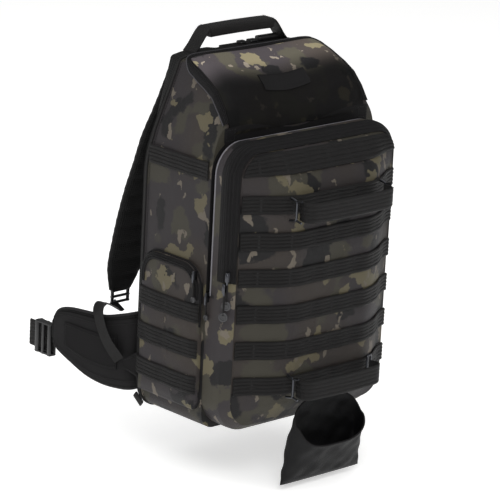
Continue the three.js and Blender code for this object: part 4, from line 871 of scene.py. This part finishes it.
# Side pockets: shallow cloth boxes sewn round the edge, closed by an arched zip under a rounded welt,
# with three webbing rows each. One more row is sewn to the bare side above.
POCKET_REAR = 70
POCKET_FRONT = -49
POCKET_BOTTOM = 25
POCKET_TOP = 229
POCKET_ARCH = 34
POCKET_CORNER = 12
POCKET_DEPTH = 11
POCKET_TURN = 12
POCKET_EDGE = 36
POCKET_ZIP_END = 178
POCKET_RISES = {"inset": [0, 0.6, 1.5, 4, 11, 20, 32], "rise": [0, 0.3, 0.5, 0.68, 0.86, 0.95, 1]}
FIRST_SIDE_ROW = 62
UPPER_SIDE_ROW = 357
UPPER_ROW_REAR = 66
UPPER_ROW_TACK = 8
SIDE_FULL = 0.3


def pocket_outline(inset):
    """The pocket's outline, set in: (y, z) from the lower rear corner over the top to the front foot."""
    low, high = max(1, POCKET_CORNER - inset), max(1, POCKET_ARCH - inset)
    rear, front = POCKET_REAR - inset, POCKET_FRONT + inset
    bottom, top = POCKET_BOTTOM + inset, POCKET_TOP - inset
    return rounded([(rear - low, bottom + low, low), (rear - high, top - high, high),
                    (front + high, top - high, high), (front + low, bottom + low, low)],
                   POCKET_TURN, POCKET_EDGE, POCKET_EDGE)


def pocket_x(y, z):
    """How far the pocket's face stands from the bag's middle, from the distance to the edge."""
    dy = np.minimum(POCKET_REAR - y, y - POCKET_FRONT)
    dz = np.minimum(POCKET_TOP - z, z - POCKET_BOTTOM)
    corner = (dy < POCKET_ARCH) & (POCKET_TOP - z < POCKET_ARCH)
    rounded = POCKET_ARCH - np.hypot(POCKET_ARCH - dy, POCKET_ARCH - (POCKET_TOP - z))
    inset = np.maximum(0, np.where(corner, rounded, np.minimum(dy, dz)))
    rise = np.interp(inset, POCKET_RISES["inset"], POCKET_RISES["rise"])
    between = np.sin(np.pi * (z - FIRST_SIDE_ROW) / ROW_PITCH) ** 2
    below = smooth((POCKET_TOP - 55 - z) / 12)
    return BODY_HALF + SIDE_FULL + POCKET_DEPTH * rise + 1.1 * between * below * smooth((inset - 4) / 16)


def side_surface(hand, y, z):
    """The pocket's face as points on the bag's left (hand -1) or right side."""
    return np.stack(np.broadcast_arrays(hand * pocket_x(y, z), y, z), -1)


# Painted shade: the pockets' copy of the camouflage is scaled to 0.68 of the print's colour for the light on
# them.
pocket_cloth = camouflage("coated camouflage polyester, pockets", (0.95, 0.2, 0.35), 0.68)
middle_y = (POCKET_REAR + POCKET_FRONT) / 2
for hand, side in SIDES:
    rings = []
    for inset in np.concatenate([np.linspace(56, 14, 15), [12, 10, 8, 6, 4.5, 3, 2, 1.2, 0.5, 0]]):
        yz = pocket_outline(inset)
        rings.append(side_surface(hand, yz[:, 0], yz[:, 1]))
    yz = pocket_outline(0)
    rings.append(np.stack([np.full(len(yz), hand * (BODY_HALF - 1)), yz[:, 0], yz[:, 1]], 1))
    new_piece(f"pocket_cloth_{side}", [loft(rings)], pocket_cloth, [f"side_pocket_{side}"])
    yz = np.stack([pocket_outline(inset) for inset in np.linspace(2.5, 11.5, 25)], 1)
    yz = yz[yz[:, 12, 1] > POCKET_ZIP_END]
    zip_grid = side_surface(hand, yz[..., 0], yz[..., 1])
    pocket_profile = across_profile(25, 1.2, [(-0.55, 0.16, 0.5), (0.05, 0.2, 1.0), (0.6, 0.16, 0.5)])
    new_piece(f"pocket_zip_{side}", [strip(zip_grid, pocket_profile, 0.5)], zip_tape,
              [f"side_pocket_zip_{side}"])
    edge_route = pocket_outline(0.6)
    welt = side_surface(hand, edge_route[:, 0], edge_route[:, 1])
    welt[:, 0] += hand * 0.9
    welt = welt[POCKET_TURN + 8:3 * (POCKET_TURN + POCKET_EDGE) - 24]
    new_piece(f"pocket_welt_{side}", [tube(welt, 1.5)], black_cloth)
    rows, tacks = [], []
    for z in (FIRST_SIDE_ROW, FIRST_SIDE_ROW + ROW_PITCH, FIRST_SIDE_ROW + 2 * ROW_PITCH):
        y = np.linspace(POCKET_REAR - 1.5, POCKET_FRONT + 1.5, 60)[:, None]
        rows.append(webbing_row(side_surface(hand, y, z + ROW_LINES), y - middle_y, 0.6, 0.8))
        for n in (-1, 0, 1):
            tacks.append(bar_tack(partial(side_surface, hand), middle_y + n * TACK_PITCH, z, 2.2))
    y = np.linspace(UPPER_ROW_REAR, POCKET_FRONT, 56)[:, None]
    full = SIDE_CROWN * np.sin(np.pi * (BODY_BACK - y) / BODY_DEEP) ** CROWN_POWER * 0.35
    flat = np.stack(np.broadcast_arrays(hand * (BODY_HALF + 0.6 + full), y, UPPER_SIDE_ROW + ROW_LINES), -1)
    rows.append(webbing_row(flat, y - UPPER_ROW_TACK, 0.2, 0.7))
    numbers = [f"side_row_{side}_{n}" for n in (1, 2, 3)] + [f"side_row_{side}_upper"]
    new_piece(f"side_rows_{side}", rows, webbing, numbers)
    new_piece(f"side_row_tacks_{side}", tacks, thread)


# Shoulder straps: foam pads in air mesh with a plain cover on the outside, bound along both edges
# and quilted across. Each ends in a ladder lock, whose webbing runs over the belt to a tab at the seam.
STRAP_WIDTH = 70
STRAP_THICK = 14
STRAP_TOP = 470
STRAP_DROP = 342
STRAP_REACH = 91
STRAP_START = 60
STRAP_STATIONS = {
    "drop": [0, 0.1, 0.2, 0.31, 0.43, 0.55, 0.68, 0.8, 0.9, 1],
    "reach": [0, 0.03, 0.13, 0.3, 0.45, 0.62, 0.77, 0.88, 0.96, 1],
    "spread": [1, 1.2, 1.32, 1.38, 1.4, 1.4, 1.4, 1.41, 1.46, 1.54],
    "width": [1, 1, 1, 1, 1, 1, 1, 0.98, 0.86, 0.49],
}
QUILT_PITCH = 26


def squared(wave, power):
    """A sine or cosine to a power below 1 with its sign kept, which squares off a round section."""
    return np.sign(wave) * np.abs(wave) ** power


strap_cover = woven("black ripstop cover", "#151415", 0.6, 0.0016, 0.5)
strap = curve(STRAP_STATIONS, 150)
centre = np.stack([
    STRAP_START * strap["spread"],
    PANEL_REAR + 0.6 + STRAP_THICK / 2 + STRAP_REACH * strap["reach"],
    STRAP_TOP - STRAP_DROP * strap["drop"],
], 1)
along = unit(np.gradient(centre * [0, 1, 1], axis=0))
outward = np.stack([0 * along[:, 0], -along[:, 2], along[:, 1]], 1)
run = np.concatenate([[0], np.cumsum(np.linalg.norm(np.diff(centre, axis=0), axis=1))])
quilt = 1 - 0.16 * np.abs(np.cos(np.pi * run / QUILT_PITCH)) ** 8
a = np.linspace(0, 2 * np.pi, 44, endpoint=False)
flat, deep = squared(np.cos(a), 0.42), squared(np.sin(a), 0.75)
scallop = 1 + 0.008 * np.sin(2 * np.pi * run / 13)
for hand, side in SIDES:
    wide = STRAP_WIDTH / 2 * strap["width"] * scallop
    thick = STRAP_THICK / 2 * quilt * np.minimum(1, 0.35 + strap["width"])
    ring = centre[:, None] + (wide[:, None] * flat[None])[..., None] * [1, 0, 0]
    ring = ring + (thick[:, None] * deep[None])[..., None] * outward[:, None]
    pad = new_piece(f"strap_pad_{side}", [loft(ring * [hand, 1, 1])], mesh_cloth,
                    [f"shoulder_strap_{side}"], 60)
    cover = []
    for share in np.linspace(-0.72, 0.72, 15):
        cover.append(centre + (wide * share)[:, None] * [1, 0, 0] + (thick * 0.93)[:, None] * outward)
    cover = np.stack(cover, 1)[2:-3]
    sheet = strip(cover * [hand, 1, 1], across_profile(15, 0.8, []))
    new_piece(f"strap_cover_{side}", [sheet], strap_cover)
    for edge, name in ((-1, "inner"), (1, "outer")):
        line = centre + (wide * 0.98 * edge)[:, None] * [1, 0, 0] + (thick * 0.25)[:, None] * outward
        trim = tube(line * [hand, 1, 1], 1.9)
        new_piece(f"strap_binding_{name}_{side}", [trim], binding_cloth)


# Ladder locks and the webbing below them: moulded three-bar adjusters and 20 mm nylon webbing.
LOCK_LENGTH = 20
LOCK_HALF = 16
ANCHOR_TIP = np.array([158.5, 103, 57])
TAB_ROOT = 39
TAB_TIP = 14
WEBBING_STATIONS = {
    "share": [0, 0.05, 0.16, 0.36, 0.54, 0.66, 0.82, 1],
    "outward": [0, 0.16, 0.42, 0.85, 1.13, 1.16, 1.12, 1],
    "rise": [0, 1, 15, 36, 40, 26, 12, 0],
    "wide_x": [0.2, 0.15, 0, 0, 0, 0, 0, 0],
    "wide_y": [0.7, 0.8, 1, 1, 0.9, 0.8, 0.7, 0.6],
    "wide_z": [0.7, 0.3, 0, -0.1, -0.3, -0.5, -0.7, -0.8],
}


def plastic(name, colour, roughness=0.38, metallic=0.0):
    """A moulded or cast surface: a faint grain as height and slightly uneven gloss."""
    m = new_material(name, colour, roughness, Metallic=metallic)
    coords = add(m, "ShaderNodeTexCoord").outputs["Object"]
    grain = add(m, "ShaderNodeTexNoise", {"Vector": coords, "Scale": 1400.0, "Detail": 2.0})
    bump = add(m, "ShaderNodeBump", {"Height": grain.outputs["Fac"], "Strength": 0.12, "Distance": 0.0002})
    link(m, bump.outputs["Normal"], "Normal")
    wear = add(m, "ShaderNodeTexNoise", {"Vector": coords, "Scale": 90.0, "Detail": 3.0})
    gloss = add(m, "ShaderNodeMapRange", {"Value": wear.outputs["Fac"], "To Min": roughness - 0.08,
                                          "To Max": roughness + 0.12})
    link(m, gloss.outputs["Result"], "Roughness")
    return m


def rounded_bar(ends, size, power=3.0, sides=20, taper=0.86):
    """A moulded bar between two points: a rounded rectangle of the given two sizes, eased at the ends."""
    ends = np.asarray(ends, float)
    along = unit(ends[1] - ends[0])
    first = unit(np.cross(along, [0.0, 0.0, 1.0]) if abs(along[2]) < 0.9 else np.array([1.0, 0, 0]))
    second = np.cross(along, first)
    a = np.linspace(0, 2 * np.pi, sides, endpoint=False)
    p, q = (squared(wave(a), 2 / power) * width / 2 for wave, width in zip((np.cos, np.sin), size))
    length = np.linalg.norm(ends[1] - ends[0])
    rings = []
    for at, grow in ((0, taper), (0.8, 1), (length - 0.8, 1), (length, taper)):
        middle = ends[0] + along * at
        rings.append(middle + grow * (p[:, None] * first + q[:, None] * second))
    return loft(rings)


black_plastic = plastic("black acetal plastic", "#121213")
for hand, side in SIDES:
    x, y, z = centre[-1]
    x = x * hand
    top, low = z - 0.5, z - 0.5 - LOCK_LENGTH
    bars = [rounded_bar([(x - LOCK_HALF, y, at), (x + LOCK_HALF, y, at)], (5, 3.2))
            for at in (top - 1.6, (top + low) / 2, low + 1.6)]
    bars += [rounded_bar([(x + s * (LOCK_HALF - 2), y, low), (x + s * (LOCK_HALF - 2), y, top)], (4, 4.6))
             for s in (-1, 1)]
    new_piece(f"lock_frame_{side}", bars, black_plastic, [f"ladder_lock_{side}"])
    end = ANCHOR_TIP
    start = np.array([centre[-1][0], y, z - LOCK_LENGTH - 4])
    s = curve(WEBBING_STATIONS, 90)
    route = np.stack([lerp(start[0], end[0], s["outward"]), lerp(start[1], end[1], s["share"]),
                      lerp(start[2], end[2], s["share"]) + s["rise"]], 1)
    along = unit(np.gradient(route, axis=0))
    wide = np.stack([s["wide_x"], s["wide_y"], s["wide_z"]], 1)
    wide = unit(wide - along * (wide * along).sum(1, keepdims=True))
    lines = np.linspace(-10, 10, 33)
    band = route[:, None] + wide[:, None] * lines[None, :, None]
    flat_ribs = across_profile(33, 0.9, [(m, 0.17, 0.35) for m in RIBS])
    body = strip(raised(band, -0.8) * [hand, 1, 1], 1.6 * flat_ribs / flat_ribs.max(), 0)
    new_piece(f"load_webbing_{side}", [body], webbing, [f"strap_webbing_{side}"])
    root = BODY_HALF + 0.6
    t = np.linspace(0, 1, 13)[:, None]
    w = np.linspace(-1, 1, 15)[None]
    x = hand * lerp(root, ANCHOR_TIP[0] - 1, t ** 1.3)
    z = ANCHOR_TIP[2] + lerp(0, -2, t) + w * lerp(TAB_ROOT, TAB_TIP, t) / 2
    tab = np.stack(np.broadcast_arrays(x, lerp(74, 94, t), z), -1)
    new_piece(f"anchor_tab_{side}", [strip(tab, across_profile(15, 2.2, []), 0.1)], black_cloth,
              [f"strap_anchor_{side}"])
    seam = raised(tab, 2.5)
    lines = stitches(seam[1:-1, 2]) + stitches(seam[1:-1, -3]) + stitches(seam[2, 1:-1])
    new_piece(f"anchor_stitches_{side}", lines, thread)


# Hip belt: a foam wing on each side in black mesh and nylon with bound edges, a stitched channel for
# the belt, and a moulded buckle half on 38 mm webbing.
WING_LENGTH = 133
WING_THICK = 12
WING_HEIGHT = 110
WING_BOTTOM = 14
WING_ROOT_X = 128
WING_TIP_X = 174
WING_STATIONS = {
    "length": [0, 0.05, 0.15, 0.34, 0.55, 0.78, 0.93, 1],
    "splay": [0, 0.3, 0.46, 0.65, 0.8, 0.93, 0.985, 1],
    "low": [0.03, 0.01, 0, 0.01, 0.07, 0.2, 0.29, 0.36],
    "high": [1, 0.98, 0.94, 0.88, 0.875, 0.86, 0.8, 0.68],
}
BUCKLE_LENGTH = 34
BUCKLE_HEIGHT = 46
BUCKLE_THICK = 12
BELT_WEBBING = 38
wing = curve(WING_STATIONS, 100)
wing_x = lerp(WING_ROOT_X, WING_TIP_X, wing["splay"])
wing_y = PANEL_REAR + 0.7 + WING_THICK / 2 + WING_LENGTH * wing["length"]
low = WING_BOTTOM + WING_HEIGHT * wing["low"]
high = WING_BOTTOM + WING_HEIGHT * wing["high"]
along = unit(np.stack([np.gradient(wing_x), np.gradient(wing_y)], 1))
normal = np.stack([along[:, 1], -along[:, 0]], 1)
a = np.linspace(0, 2 * np.pi, 52, endpoint=False)
up_share, out_share = squared(np.cos(a), 0.35), squared(np.sin(a), 0.8)


def wing_point(station, share, out):
    """A point of the wing: its height as a share of the wing's, -1 to 1, and out from its middle plane."""
    z = lerp(low[station], high[station], (share + 1) / 2)
    x = wing_x[station] + normal[station, 0] * out
    return np.stack(np.broadcast_arrays(x, wing_y[station] + normal[station, 1] * out, z), -1)


i = np.arange(100)
buckle_y = PANEL_REAR + WING_LENGTH + WING_THICK / 2 + 3
buckle_z = WING_BOTTOM + WING_HEIGHT * 0.37
for hand, side in SIDES:
    flip = np.array([hand, 1, 1])
    share, lift = np.broadcast_arrays(up_share[None], out_share[None] * WING_THICK / 2)
    channel = 1 - 0.3 * np.exp(-((np.abs(share) - 0.62) / 0.05) ** 2)
    ring = wing_point(i[:, None], share, lift * channel)
    pad = new_piece(f"wing_pad_{side}", [loft(ring * flip)], mesh_cloth,
                    [f"belt_wing_{side}"], 60)
    face = wing_point(i[6:92, None], np.linspace(-0.9, 0.9, 31)[None], WING_THICK / 2 * 0.9)
    cover = strip(face * flip, across_profile(31, 0.9, []))
    new_piece(f"wing_face_{side}", [cover], strap_cover)
    for s, name in ((-1, "lower"), (1, "upper")):
        edge = wing_point(i, s * 1.0, 0.0)
        new_piece(f"wing_binding_{name}_{side}", [tube(edge * flip, 2.6)], binding_cloth)
    panel = wing_point(i[30:74, None], np.linspace(-0.5, 0.5, 21)[None], WING_THICK / 2 + 0.8) * flip
    new_piece(f"wing_patch_{side}", [strip(panel, across_profile(21, 1.3, []))], black_cloth)
    lines = []
    for s in (-0.78, 0.78):
        lines += stitches(wing_point(i[8:90], s, WING_THICK / 2 + 0.7) * flip)
    inner = raised(panel, 1.6)[2:-2, 2:-2]
    for line in (inner[0], inner[-1], inner[:, 0], inner[:, -1]):
        lines += stitches(line)
    new_piece(f"wing_stitches_{side}", lines, thread)
    x = hand * WING_TIP_X
    bars = []
    for y, t in ((buckle_y + 3.5, 7), (buckle_y + BUCKLE_LENGTH / 2, 5), (buckle_y + BUCKLE_LENGTH - 4, 8)):
        half = BUCKLE_HEIGHT / 2
        for out in (-1, 1):
            bars.append(rounded_bar([(x + out * 4.2, y, buckle_z - half), (x + out * 4.2, y, buckle_z + half)],
                                    (3.6, t)))
    for s in (-1, 1):
        z = buckle_z + s * (BUCKLE_HEIGHT / 2 - 1.5)
        bars.append(rounded_bar([(x, buckle_y, z), (x, buckle_y + BUCKLE_LENGTH, z)], (BUCKLE_THICK, 3.4)))
    new_piece(f"buckle_half_{side}", bars, black_plastic, [f"belt_buckle_{side}"])
    y = np.linspace(buckle_y - 2, buckle_y + BUCKLE_LENGTH + 17, 30)[:, None]
    z = buckle_z + np.linspace(-BELT_WEBBING / 2, BELT_WEBBING / 2, 57)[None]
    belt = np.stack(np.broadcast_arrays(x + 0 * y, y, z), -1)
    ridges = across_profile(57, 1.3, [(m, 0.12, 0.5) for m in np.linspace(-0.84, 0.84, 7)])
    new_piece(f"belt_band_{side}", [strip(belt, ridges, -1.0)], webbing,
              [f"belt_webbing_{side}"])

# A short webbing tab is caught in the base seam under the left wing.
seam_tab = rounded_bar([(-149, 64, 3), (-149, 79, 14)], (3, 10))
new_piece("base_seam_tab", [seam_tab], webbing)


# Grab handle: a 25 mm webbing strap sewn at both ends to the top of the back panel, wrapped into a
# thick padded grip between the folds. Behind the hatch, the two rear sliders rest in a moulded strip.
HANDLE_Y = 70
HANDLE_WIDTH = 25
HANDLE_SPAN = 85
HANDLE_FOOT = 485.3
GRIP_THICK = 15
HANDLE_SEAMS = (57, 74)
GRIP_TOP = 520
HANDLE_STATIONS = {
    "across": [-1, -0.92, -0.84, -0.77, -0.7, -0.64, -0.5, -0.25, 0],
    "rise": [0, 0.22, 0.5, 0.74, 0.92, 0.97, 0.985, 0.995, 1],
    "thick": [0, 0, 0, 0.02, 0.2, 1, 1, 1, 1],
}
# The strip's blocks and its base: from and to along X, foot, width and height.
GARAGE_BLOCKS = [(4, 14, 1, 11, 5), (22, 34, 1, 11, 5), (38, 74, 1, 11, 8), (4, 74, 0.2, 10, 2)]
half = curve(HANDLE_STATIONS, 70)
rings = []
for x, rise, thick in zip(half["across"], half["rise"], np.clip(half["thick"], 0, 1)):
    top = lerp(HANDLE_FOOT + 2.5, GRIP_TOP, rise)
    deep = lerp(3.2, GRIP_THICK, thick)
    a = np.linspace(0, 2 * np.pi, 36, endpoint=False)
    power = lerp(0.2, 0.42, thick)
    flat, tall = squared(np.cos(a), power) * HANDLE_WIDTH / 2, squared(np.sin(a), power) * deep / 2
    rings.append(np.stack([np.full(36, x * HANDLE_SPAN), HANDLE_Y + flat, top - deep / 2 + tall], 1))
rings = np.array(rings)
rings = np.concatenate([rings, rings[-2::-1] * [-1, 1, 1]])
grip = new_piece("handle_strap", [loft(rings)], webbing, ["grab_handle"], 50)
seams = []
for hand in (-1, 1):
    for x in HANDLE_SEAMS:
        z = np.interp(-x / HANDLE_SPAN, half["across"], lerp(HANDLE_FOOT + 2.5, GRIP_TOP, half["rise"])) + 0.2
        seams += stitches([(hand * x, HANDLE_Y - 10, z), (hand * x, HANDLE_Y + 10, z)])
new_piece("handle_stitches", seams, thread)

garage = []
for low, high, foot, wide, tall in GARAGE_BLOCKS:
    z = HANDLE_FOOT + foot + tall / 2
    garage.append(rounded_bar([(low, HANDLE_Y - 0.5, z), (high, HANDLE_Y - 0.5, z)], (wide, tall)))
new_piece("zip_garage_block", garage, black_plastic, ["rear_zip_garage"])


# Front straps: folded webbing that bows out between two metal ends, which are hooked in the rows.
STRAP_BAND = {
    "across": [-1, -1.03, -0.98, -0.82, -0.4, 0],
    "out": [0, 0.5, 0.8, 1, 1.09, 1.12],
}
FRONT_STRAP_WIDTH = 27
FRONT_STRAP_BULGE = 22
UPPER_STRAP = FIRST_ROW + 5 * ROW_PITCH - 5
LOWER_STRAP = FIRST_ROW
HOOK_X = 82
LOWER_HOOK_X = 74
HOOK_HEIGHT = 34
HOOK_REACH = 22
gunmetal = plastic("gunmetal plated steel", "#4b4c50", 0.3, 1.0)


def hook_face(x, z):
    """Where the metal ends touch the webbing row in front of the panel."""
    dome = float(panel_surface(np.array(float(abs(x))), np.array(float(z)))[1])
    return dome - 0.8 - WEBBING_THICK - 1.4


def bent_rod(points, radius=1.5):
    """A round rod through corner points, each corner cut off by a short curve."""
    points = np.asarray(points, float)
    route = [points[0]]
    for before, here, after in zip(points, points[1:], points[2:]):
        a, b = (here + unit(p - here) * min(3.0, np.linalg.norm(p - here) / 2.2) for p in (before, after))
        t = np.linspace(0, 1, 7)[:, None]
        route += list((1 - t) ** 2 * a + 2 * t * (1 - t) * here + t ** 2 * b)
    return tube(np.array(route + [points[-1]]), radius, 12)


for name, z, x in (("upper", UPPER_STRAP, HOOK_X), ("lower", LOWER_STRAP, LOWER_HOOK_X)):
    s = curve(STRAP_BAND, 50)
    half_span = (x - 3.2) / 1.03
    base = hook_face(x, z) - HOOK_REACH * 0.62
    left = np.stack([s["across"] * half_span, base - FRONT_STRAP_BULGE * s["out"], np.full(50, z)], 1)
    route = np.concatenate([left, left[-2::-1] * [-1, 1, 1]])
    lines = np.linspace(-FRONT_STRAP_WIDTH / 2, FRONT_STRAP_WIDTH / 2, 41)
    band = route[:, None] + lines[None, :, None] * np.array([0, 0, 1.0])
    ridges = across_profile(41, 1.7, [(m, 0.17, 0.6) for m in RIBS])
    body = strip(band, ridges, -1.2)
    new_piece(f"front_band_{name}", [body], webbing, [f"front_strap_{name}"])
    seams = []
    for hand in (-1, 1):
        n = 14 if hand < 0 else len(route) - 15
        line = raised(band, 1.3)[n]
        seams += stitches(line[3:-3])
    new_piece(f"front_band_stitches_{name}", seams, thread)

for name, x, z in (("upper_hook_left", -HOOK_X, UPPER_STRAP), ("upper_hook_right", HOOK_X, UPPER_STRAP),
                   ("lower_hook_left", -LOWER_HOOK_X, LOWER_STRAP)):
    y, h = hook_face(x, z), HOOK_HEIGHT / 2
    mid = y - HOOK_REACH * 0.55
    corners = [(x, y, z + h - 1.6), (x, mid, z + h - 4), (x, mid, z - h + 4), (x, y, z - h + 1.6)]
    main = bent_rod(corners, 1.7)
    prongs = [bent_rod([(x, mid, z + s * (h - 4)), (x, y - HOOK_REACH, z + s * (h - 2.4))], 1.5)
              for s in (-1, 1)]
    new_piece(f"{name}_rod", [main, *prongs], gunmetal, [name])
x, z = LOWER_HOOK_X, LOWER_STRAP
y, h = hook_face(x, z) - 4, HOOK_HEIGHT / 2 - 0.6
turn = np.array([np.cos(0.3), np.sin(0.3), 0]) * 5
middle = np.array([x + 1, y, z])
corners = [middle + s * turn + [0, 0, v * h]
           for s, v in ((-1, 0), (-1, 1), (1, 1), (1, -1), (-1, -1), (-1, -0.05))]
new_piece("lower_loop_rod", [bent_rod(corners, 1.6)], gunmetal, ["lower_loop_right"])


# Leg pocket: a pouch of thin nylon that is tucked away when empty and hangs below the front panel,
# its back taller than its front, with a lighter hem and slanting creases.
POUCH = {
    "height": [0, 0.12, 0.4, 0.75, 1],
    "width": [1.03, 1.0, 0.95, 0.89, 0.84],
    "depth": [0.14, 0.42, 0.75, 0.95, 1],
    "forward": [0, 0.05, 0.15, 0.5, 1],
}
POUCH_HALF = 71
POUCH_DROP = 70
POUCH_RISE = 44
POUCH_SIDE_TOP = 12
POUCH_DIP = 28
POUCH_DEPTH = 32
POUCH_Y = -136
POUCH_LEAN = 15
POUCH_POWER = 0.6
pouch_cloth = woven("thin black ripstop nylon", "#101011", 0.5, 0.0009, 0.3)
s = curve(POUCH, 60)
a = np.linspace(0, 2 * np.pi, 121)[None]
height = s["height"][:, None]
edge = POUCH_SIDE_TOP + np.sin(a) * np.where(np.sin(a) > 0, POUCH_RISE - POUCH_SIDE_TOP, POUCH_DIP)
x = POUCH_HALF * s["width"][:, None] * squared(np.cos(a), POUCH_POWER)
z = lerp(-POUCH_DROP, edge, height)
crease = np.sin(x / 9 + z / 6) * np.sin(x / 31 - z / 17 + 1)
crease = crease + 0.6 * np.sin(x / 5.3 - z / 8 + 2) * np.sin(z / 13)
deep = POUCH_DEPTH * s["depth"][:, None] / 2
y = POUCH_Y - POUCH_LEAN * s["forward"][:, None] + deep * squared(np.sin(a), POUCH_POWER)
y = y + 1.6 * crease * smooth((height - 0.05) / 0.2) * (1 - 0.7 * smooth((height - 0.8) / 0.2))
resting = panel_surface(x, np.maximum(z, FRONT_BOTTOM + PANEL_INSET))[..., 1] - 3.2
y = np.minimum(y, np.where((np.sin(a) > 0.3) & (z > FRONT_BOTTOM + PANEL_INSET), resting, 999))
pouch = np.stack([x, y, z], -1)
new_piece("pouch_cloth", [strip(pouch, np.full(121, 0.9), -0.9)], pouch_cloth, ["leg_pocket"])
hem = pouch[-1]
new_piece("pouch_hem", [tube(hem, 1.3, 8)], black_cloth)


# Zip pulls: a cast slider on each zip's end, a braided cord and a moulded round grip with rings.
SLIDER_LENGTH = 13
SLIDER_WIDTH = 9
PULLS = {
    "front_zip_pull_upper": {"at": (-148.4, -94.7, 231), "turn": -53.8, "drop": 46, "disc": 6.5},
    "front_zip_pull_lower": {"at": (-151.4, -92.7, 216), "turn": -53.8, "drop": 46, "disc": 6.5},
    "main_zip_pull_left": {"at": (-149.6, -59.5, 194), "turn": -90, "drop": 34, "disc": 3.9},
    "main_zip_pull_right": {"at": (149.6, -59.5, 194), "turn": 90, "drop": 34, "disc": 3.9},
    "side_zip_pull_left": {"at": (-158.6, -43, 222), "turn": -90, "drop": 40, "disc": 4},
    "side_zip_pull_right": {"at": (158.6, -43, 222), "turn": 90, "drop": 40, "disc": 4},
}
# The grip's face from its rim inwards: shares of its radius and heights.
RINGS = [(1, 0.9), (0.97, 1.9), (0.84, 2.4), (0.66, 2.3), (0.62, 1.5), (0.48, 1.5), (0.46, 2.1), (0.3, 2.1),
         (0.28, 1.6)]
rubber = plastic("black moulded rubber", "#2e2e30", 0.36)
for name, pull in PULLS.items():
    angle = np.radians(pull["turn"])
    right_way = np.array([np.cos(angle), np.sin(angle), 0])
    forward = np.array([np.sin(angle), -np.cos(angle), 0])
    at = np.array(pull["at"], float) + forward * 1.7

    def on(x, out, z):
        """A point beside, in front of and below the slider's top."""
        return at + x * right_way + out * forward + np.array([0, 0, z])

    slider = rounded_bar([on(0, 0, 0), on(0, 0, -SLIDER_LENGTH)], (SLIDER_WIDTH * 0.9, 3.4))
    tongue = bent_rod([on(0, 1.6, -2), on(0, 3.4, -4), on(0, 3.2, -SLIDER_LENGTH - 3)], 1.4)
    new_piece(f"{name}_slider", [slider, tongue], gunmetal, [name])
    drop = pull["drop"]
    cord = tube([on(0, 2.2, -SLIDER_LENGTH), on(0.3, 1.6, -SLIDER_LENGTH - 8), on(0, 1, 2 - drop)], 1.3)
    new_piece(f"{name}_cord", [cord], webbing)
    a = np.linspace(0, 2 * np.pi, 40, endpoint=False)[:, None]
    faces = []
    for share, thick in [(1, 0.1), *RINGS]:
        radius = pull["disc"] * share
        faces.append(on(radius * np.cos(a), thick, 0) + [0, 0, 1] * (radius * np.sin(a) - drop))
    new_piece(f"{name}_grip", [loft(faces)], rubber)
